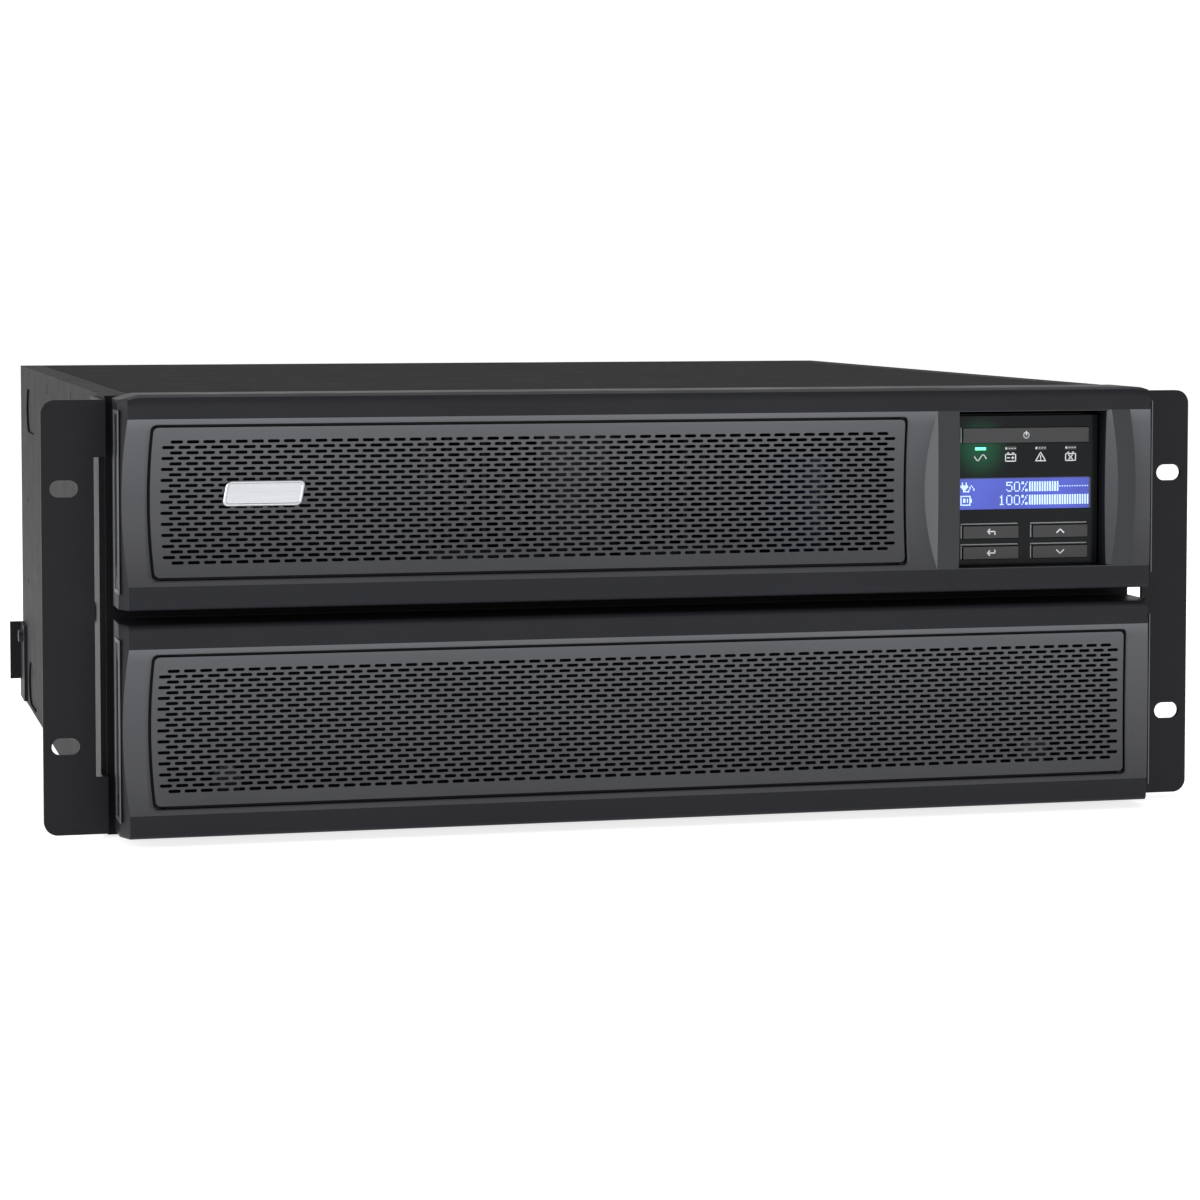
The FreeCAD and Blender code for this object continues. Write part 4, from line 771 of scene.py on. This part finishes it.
def build_grille(word, shape):
    """The perforated grille: staggered rows of slots in a scooped, bowed plate."""
    points, faces = [], []
    left, right = shape.left, shape.right
    middle = shape.middle
    count = int((right - left - 2 * SLOT_MARGIN) / SLOT_PITCH)
    start = (left + right) / 2 - count * SLOT_PITCH / 2
    end = start + count * SLOT_PITCH
    low = middle - ROWS * ROW_PITCH / 2
    high = middle + ROWS * ROW_PITCH / 2
    inner, outer = slot_outline(), cell_outline()

    def put(x, z, layer):
        shifted = x + shape.bow(x, z)
        y = shape.face(z) + shape.scoop(z) + PLATE_SINK + layer * PLATE_THICK
        points.append((shifted, y, z))
        return len(points) - 1

    def both(outline):
        return [[put(x, z, layer) for x, z in outline] for layer in (0, 1)]

    def patch(outline):
        for layer in both(outline):
            faces.append(tuple(layer))

    for row in range(ROWS):
        z = high - (row + 0.5) * ROW_PITCH
        shift = 0.5 if row % 2 == 0 else 0.0
        for column in range(count - (1 if shift else 0)):
            x = start + (column + 0.5 + shift) * SLOT_PITCH
            hole = both([(x + u, z + w) for u, w in inner])
            cell = both([(x + u, z + w) for u, w in outer])
            for step in range(len(inner)):
                after = (step + 1) % len(inner)
                for layer in (0, 1):
                    faces.append((cell[layer][step], cell[layer][after],
                                  hole[layer][after], hole[layer][step]))
                faces.append((hole[0][step], hole[0][after], hole[1][after], hole[1][step]))
        if shift:
            for x0, x1 in ((start, start + SLOT_PITCH / 2), (end - SLOT_PITCH / 2, end)):
                centre = (x0 + x1) / 2
                patch([(x0, z - ROW_PITCH / 2), (centre, z - ROW_PITCH / 2),
                       (x1, z - ROW_PITCH / 2), (x1, z), (x1, z + ROW_PITCH / 2),
                       (centre, z + ROW_PITCH / 2), (x0, z + ROW_PITCH / 2), (x0, z)])
    add_rim(shape, put, faces, (start, end, low, high))
    mesh = mesh_from(word + "_grille_slots", points, faces, 0.02)
    item = new_object(word + "_grille_slots", mesh, MATERIALS["grille_metal"],
                      word + "_cover", 30)
    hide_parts(word + "_grille")


def add_rim(shape, put, faces, block):
    """The plain border between the block of slots and the plate's round-cornered edge."""
    start, end, low, high = block
    left, right = shape.left, shape.right
    bottom, top = shape.middle - PLATE_TALL / 2, shape.middle + PLATE_TALL / 2
    radius = PLATE_CORNER
    quarter = SLOT_PITCH / 4
    steps_x = round((end - start) / quarter)
    steps_z = ROWS * 2
    xs = [start + quarter * step for step in range(steps_x + 1)]
    zs = [low + ROW_PITCH / 2 * step for step in range(steps_z + 1)]

    def slide(value, a, b, c, d):
        return c + (value - a) / (b - a) * (d - c)

    pairs = []
    for x in xs:
        pairs.append(((x, low), (slide(x, start, end, left + radius, right - radius), bottom)))
    for z in zs[1:]:
        pairs.append(((end, z), (right, slide(z, low, high, bottom + radius, top - radius))))
    for x in reversed(xs[:-1]):
        pairs.append(((x, high), (slide(x, start, end, left + radius, right - radius), top)))
    for z in reversed(zs[1:-1]):
        pairs.append(((start, z), (left, slide(z, low, high, bottom + radius, top - radius))))
    corners = {
        (end, low): (right - radius, bottom + radius, -90),
        (end, high): (right - radius, top - radius, 0),
        (start, high): (left + radius, top - radius, 90),
        (start, low): (left + radius, bottom + radius, 180),
    }
    ring = []
    for inner, outer in pairs:
        if inner in corners:
            cx, cz, angle = corners[inner]
            for step in range(5):
                turn = math.radians(angle + 22.5 * step)
                ring.append((inner, (cx + radius * math.cos(turn),
                                     cz + radius * math.sin(turn))))
        else:
            ring.append((inner, outer))
    made = [[(put(*inner, layer), put(*outer, layer)) for inner, outer in ring]
            for layer in (0, 1)]
    for step in range(len(ring)):
        after = (step + 1) % len(ring)
        for layer in (0, 1):
            (a, b), (c, d) = made[layer][step], made[layer][after]
            faces.append((a, b, d, c))
        faces.append((made[0][step][1], made[0][after][1], made[1][after][1],
                      made[1][step][1]))


def build_badge(shape):
    """A blank satin badge with a raised rim, on the upper grille."""
    low, high = node_box("badge")
    points, faces = [], []
    centre_x, centre_z = (low.x + high.x) / 2, (low.z + high.z) / 2
    half_x, half_z = (high.x - low.x) / 2, (high.z - low.z) / 2
    slant, corner_radius, steps = 0.18, 2.2, 24

    def loop(inset, lift):
        ring = []
        for step in range(steps):
            corner = step // (steps // 4)
            turn = math.radians(90 * corner + 90 / (steps // 4 - 1) * (step % (steps // 4)))
            radius = max(0.3, corner_radius - inset)
            side_x = 1 if corner in (0, 3) else -1
            side_z = 1 if corner in (0, 1) else -1
            x = side_x * (half_x - 1 - inset - radius) + radius * math.cos(turn)
            z = side_z * (half_z - inset - radius) + radius * math.sin(turn)
            x += slant * z
            height = centre_z + z
            y = shape.face(height) + shape.scoop(height) + PLATE_SINK - lift
            points.append((centre_x + x, y, height))
            ring.append(len(points) - 1)
        return ring

    rings = [loop(0, -0.05), loop(0, 0.9), loop(0.35, 1.25), loop(0.9, 1.25),
             loop(1.15, 1.0), loop(1.5, 1.0)]
    for first, second in zip(rings, rings[1:]):
        for step in range(steps):
            after = (step + 1) % steps
            faces.append((first[step], first[after], second[after], second[step]))
    faces.append(tuple(rings[-1]))
    faces.append(tuple(reversed(rings[0])))
    mesh = mesh_from("blank_badge", points, faces, 0.002)
    item = new_object("blank_badge", mesh, MATERIALS["badge_metal"], "upper_cover",
                      30)
    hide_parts("badge")


# ---------------------------------------------------------------- display details

class Ink:
    """Thin raised marks, gathered into one mesh."""

    def __init__(self, front, thick=0.08):
        self.front, self.back = front - thick, front
        self.points, self.faces = [], []

    def prism(self, corners):
        """Adds an upright prism with the given corners in X and Z."""
        first, count = len(self.points), len(corners)
        self.points += [(x, self.front, z) for x, z in corners]
        self.points += [(x, self.back, z) for x, z in corners]
        self.faces.append(tuple(range(first, first + count)))
        self.faces.append(tuple(range(first + 2 * count - 1, first + count - 1, -1)))
        for step in range(count):
            after = (step + 1) % count
            self.faces.append((first + step, first + after, first + count + after,
                               first + count + step))

    def bar(self, x0, z0, x1, z1):
        """Adds an upright block."""
        self.prism([(x0, z0), (x1, z0), (x1, z1), (x0, z1)])

    def stroke(self, line, width):
        """Adds a ribbon along a line of points."""
        for (x0, z0), (x1, z1) in zip(line, line[1:]):
            long = math.hypot(x1 - x0, z1 - z0)
            ax, az = (x1 - x0) / long * width / 2, (z1 - z0) / long * width / 2
            self.prism([(x0 - ax - az, z0 - az + ax), (x0 - ax + az, z0 - az - ax),
                        (x1 + ax + az, z1 + az - ax), (x1 + ax - az, z1 + az + ax)])

    def piece(self, name, material, body):
        """Makes the gathered marks into one piece."""
        mesh = mesh_from(name, self.points, self.faces, 0)
        return new_object(name, mesh, material, body, 0)


def arc(x, z, radius, start, end, steps=14):
    """Points along an arc, with angles in degrees."""
    turns = [math.radians(start + (end - start) * step / steps) for step in range(steps + 1)]
    return [(x + radius * math.cos(turn), z + radius * math.sin(turn)) for turn in turns]


def key_marks():
    """White symbols on the keys: power, back, up, enter and down."""
    shapes = {
        "power": [arc(0, 0, 1.15, 125, 415), [(0, 0.2), (0, 1.5)]],
        "back": [[(1.7, -0.9), (1.7, 0.3), (-1.5, 0.3)], [(-0.6, 1.2), (-1.5, 0.3),
                                                         (-0.6, -0.6)]],
        "up": [[(-1.5, -0.6), (0, 0.8), (1.5, -0.6)]],
        "enter": [[(1.7, 1.0), (1.7, -0.1), (-1.5, -0.1)], [(-0.6, 0.8), (-1.5, -0.1),
                                                           (-0.6, -1.0)]],
        "down": [[(-1.5, 0.6), (0, -0.8), (1.5, 0.6)]],
    }
    for word, lines in shapes.items():
        low, high = node_box(word + "_button")
        x, z = (low.x + high.x) / 2, (low.z + high.z) / 2
        ink = Ink(low.y, 0.06)
        for line in lines:
            ink.stroke([(x + u, z + w) for u, w in line], 0.5)
        ink.piece(word + "_mark", MARK_WHITE_PAINTED_GLOW, word + "_key")


def lamp_icons():
    """The lit first lamp, and under the lamps a wave, a battery, a warning and a fault."""
    low, high = node_box("status_lamps")
    face_low, _ = node_box("display_face")
    long = 5.0
    step = (high.x - low.x - long) / 3
    centres = [low.x + long / 2 + step * place for place in range(4)]
    level = (low.z + high.z) / 2
    lit = Ink(low.y, 0.12)
    lit.bar(centres[0] - 2.3, level - 0.55, centres[0] + 2.3, level + 0.55)
    lit.piece("lit_lamp", LIT_GREEN, "display")
    # A small white mark at the left end of each unlit lamp and three short white dashes across
    # it, in the faintly glowing white.
    dots = Ink(low.y, 0.05)
    for x in centres[1:]:
        dots.bar(x - 2.3, level - 0.35, x - 1.6, level + 0.35)
    for x in centres[1:]:
        for part in range(3):
            dots.bar(x - 0.8 + 1.2 * part, level - 0.12, x - 0.2 + 1.2 * part, level + 0.12)

    icons = Ink(face_low.y, 0.05)
    z = level - 3.7
    line = 0.42
    wave = [(u / 2, 1.2 * math.sin(u * math.pi / 4.6)) for u in range(-5, 6)]
    case = [(-2.2, -1.6), (2.2, -1.6), (2.2, 1.2), (-2.2, 1.2), (-2.2, -1.6)]
    caps = [[(-1.4, 1.2), (-1.4, 1.8), (-0.8, 1.8)], [(1.4, 1.2), (1.4, 1.8), (0.8, 1.8)]]
    plus = [[(-1.4, -0.2), (-0.4, -0.2)], [(0.5, -0.2), (1.4, -0.2)], [(0.95, -0.65),
                                                                    (0.95, 0.25)]]
    warning = [[(-2.2, -1.6), (0, 1.9), (2.2, -1.6), (-2.2, -1.6)], [(0, 0.5), (0, -0.5)],
               [(0, -1.05), (0, -1.1)]]
    fault = [[(-0.8, -1.0), (0.8, 0.6)], [(-0.8, 0.6), (0.8, -1.0)]]
    for x, lines in zip(centres, ([wave], [case] + caps + plus, warning,
                                  [case] + caps + fault)):
        for item in lines:
            icons.stroke([(x + u, z + w) for u, w in item], line)
    icons.piece("lamp_icons", MARK_WHITE_PAINTED_GLOW, "display")
    dots.piece("lamp_dots", MARK_WHITE_PAINTED_GLOW, "display")


GLYPHS = {
    "0": (".###.", "#...#", "#...#", "#...#", "#...#", "#...#", ".###."),
    "1": ("..#..", ".##..", "..#..", "..#..", "..#..", "..#..", ".###."),
    "5": ("#####", "#....", "####.", "....#", "....#", "#...#", ".###."),
    "%": ("##..#", "##.#.", "...#.", "..#..", ".#...", ".#.##", "#..##"),
    "|": ("#.#.#",) * 7,
    "-": (".....", ".....", ".....", "#.#.#", ".....", ".....", "....."),
    " ": (".....",) * 7,
}
PLUG = (".#..#......", ".#..#......", "######..#..", "######.#.#.", ".####..#..#",
        "..##..#...#", "..#####....")
BATTERY = ("########...", "#......#...", "#.##.#.##..", "#.##.#.##..", "#.##.#.##..",
           "#......#...", "########...")


DOT_ROWS = 7
DOT_ACROSS = 0.555
DOT_UP = 0.6
DOT_GAP = 0.06
DOT_WIDE = 0.84     # width of a dot and of a bar, in columns
BAR_WIDE = 1.2
PER_GLYPH = 6
LINE_APART = 5.5


def screen_dots():
    """Two rows of lit dots: a symbol, a percentage and a bar on each."""
    low, high = node_box("lcd_screen")
    ink = Ink(low.y, 0.05)
    start = low.x + 0.6
    middle = (low.z + high.z) / 2
    lines = ((middle + LINE_APART / 2, PLUG, "      50%||||----"),
             (middle - LINE_APART / 2, BATTERY, "     100%||||||||"))

    def column(place, cells, top, wide=DOT_WIDE):
        """One column of dots, with dots that touch joined into a bar."""
        x = start + place * DOT_ACROSS
        row = 0
        while row < DOT_ROWS:
            if cells[row] != "#":
                row += 1
                continue
            end = row
            while end < DOT_ROWS and cells[end] == "#":
                end += 1
            ink.bar(x, top - end * DOT_UP + DOT_GAP, x + DOT_ACROSS * wide,
                    top - row * DOT_UP - DOT_GAP)
            row = end

    for z, symbol, words in lines:
        top = z + DOT_ROWS / 2 * DOT_UP
        for place in range(len(symbol[0])):
            column(place, [line[place] for line in symbol], top)
        for number, letter in enumerate(words):
            for place in range(5):
                column(number * PER_GLYPH + place, [line[place] for line in GLYPHS[letter]],
                       top, BAR_WIDE if letter == "|" else DOT_WIDE)
    ink.piece("screen_dots", DOT_WHITE, "display")
    rim = Ink(low.y, 0.25)
    rim.bar(high.x - 0.5, low.z, high.x, high.z)
    rim.bar(low.x, high.z - 0.25, high.x, high.z)
    rim.piece("screen_rim", MATERIALS["lamp"], "display")


def end_frames(word):
    """Raised frames on the two end walls of a bezel, coloured pale as a painted highlight for
    the end walls lit from the side.
    """
    shape = Bezel(word)
    front, back = shape.low.y + 6.5, shape.high.y - 8
    bottom, top = shape.low.z + 6, shape.high.z - 6
    wide, proud = 1.6, 0.35
    points, faces = [], []
    for side in (-1, 1):
        outer = [(front, bottom), (back, bottom), (back, top), (front, top)]
        inner = [(front + wide, bottom + wide), (back - wide, bottom + wide),
                 (back - wide, top - wide), (front + wide, top - wide)]
        first = len(points)
        for x in (shape.half - 0.1, shape.half + proud):
            points += [(side * x, y, z) for y, z in outer + inner]
        for step in range(4):
            out, out_next = first + step, first + (step + 1) % 4
            inside, inside_next = out + 4, out_next + 4
            faces += [(out + 8, out_next + 8, inside_next + 8, inside + 8),
                      (out, out_next, out_next + 8, out + 8),
                      (inside, inside_next, inside_next + 8, inside + 8),
                      (out, out_next, inside_next, inside)]
    mesh = mesh_from(word + "_end_frames", points, faces, 0)
    new_object(word + "_end_frames", mesh, FRAME_PAINTED_HIGHLIGHT, word + "_cover", 0)


def key_lip_highlights():
    """Thin raised strips in pale plastic at the left of each key's pocket and over the menu
    keys: a painted highlight for the pocket walls and ridges that catch the light.
    """
    face_low, _ = node_box("display_face")
    ink = Ink(face_low.y, 0.18)
    for word in ("power", "back", "up", "enter", "down"):
        low, high = node_box(word + "_button")
        ink.bar(low.x - 1.05, low.z + 0.1, low.x - 0.55, high.z + 0.3)
        if word != "power":
            ink.bar(low.x - 1.05, high.z + 0.75, high.x - 0.2, high.z + 1.2)
    ink.piece("key_lip_highlights", LIP_PAINTED_HIGHLIGHT, "display")


# ---------------------------------------------------------------- stage

def build_stage():
    """Pale glowing floor, a studio sky that darkens upwards, and soft lights."""
    floor = bpy.data.meshes.new("floor")
    reach, level = 30.0, -0.0004
    corners = [(-reach, -reach), (reach, -reach), (reach, reach), (-reach, reach)]
    floor.from_pydata([(x, y, level) for x, y in corners], [], [(0, 1, 2, 3)])
    item = bpy.data.objects.new("floor", floor)
    bpy.context.scene.collection.objects.link(item)
    m = Nodes("pale floor")
    pale = m.ramp(m.noise(3.0, 2.0), [(0.3, 0.84), (0.7, 0.86)])
    m.link(pale, m.shader.inputs["Base Color"])
    m.link(pale, m.shader.inputs["Emission Color"])
    m.set(Roughness=0.7, Emission_Strength=0.9, Specular_IOR_Level=0.0)
    floor.materials.append(m.material)

    world = bpy.context.scene.world or bpy.data.worlds.new("studio")
    bpy.context.scene.world = world
    world.use_nodes = True
    tree = world.node_tree
    place = tree.nodes.new("ShaderNodeTexCoord")
    split = tree.nodes.new("ShaderNodeSeparateXYZ")
    ramp = tree.nodes.new("ShaderNodeValToRGB")
    stops = ((0.0, 1.0), (0.12, 1.0), (0.3, 0.35), (0.6, 0.2), (1.0, 0.3))
    while len(ramp.color_ramp.elements) < len(stops):
        ramp.color_ramp.elements.new(0.5)
    for element, (position, grey) in zip(ramp.color_ramp.elements, stops):
        element.position = position
        element.color = (grey, grey, grey, 1.0)
    tree.links.new(place.outputs["Generated"], split.inputs["Vector"])
    tree.links.new(split.outputs["Z"], ramp.inputs["Fac"])
    tree.links.new(ramp.outputs["Color"], tree.nodes["Background"].inputs["Color"])
    tree.nodes["Background"].inputs["Strength"].default_value = 1.05

    add_light("overhead", (0.1, 0.5, 2.2), (0.0, 0.1, 0.0), 2.4, 1.6, 30)
    add_light("left", (-2.0, -0.6, 0.7), (0, 0, 0.08), 0.8, 1.2, 14)
    add_light("front", (0.3, -2.6, 0.5), (0, 0, 0.08), 2.4, 0.5, 10)


def add_light(name, place, aim, width, height, power):
    """A rectangular soft light that looks at a point."""
    data = bpy.data.lights.new(name, "AREA")
    data.shape = "RECTANGLE"
    data.size, data.size_y, data.energy = width, height, power
    item = bpy.data.objects.new(name, data)
    item.location = place
    item.rotation_euler = (Vector(aim) - Vector(place)).to_track_quat("-Z", "Y").to_euler()
    bpy.context.scene.collection.objects.link(item)


def build_camera():
    """The camera: long lens, low in front of the left end."""
    data = bpy.data.cameras.new("camera")
    data.lens = 101.185
    data.sensor_width = 36.0
    data.shift_y = -0.12
    item = bpy.data.objects.new("camera", data)
    item.location = (-0.34488, -1.54228, 0.22208)
    turn, dip = math.radians(13.881), math.radians(3.1)
    aim = Vector((math.sin(turn) * math.cos(dip), math.cos(turn) * math.cos(dip),
                  -math.sin(dip)))
    item.rotation_euler = aim.to_track_quat("-Z", "Y").to_euler()
    bpy.context.scene.collection.objects.link(item)
    bpy.context.scene.camera = item
    bpy.context.scene.view_settings.view_transform = "Standard"


finish_nodes()
for word in ("lower", "upper"):
    bezel = build_bezel(word)
    build_grille(word, bezel)
    end_frames(word)
    if bezel.has_display:
        build_badge(bezel)
key_marks()
lamp_icons()
screen_dots()
key_lip_highlights()
build_stage()
build_camera()
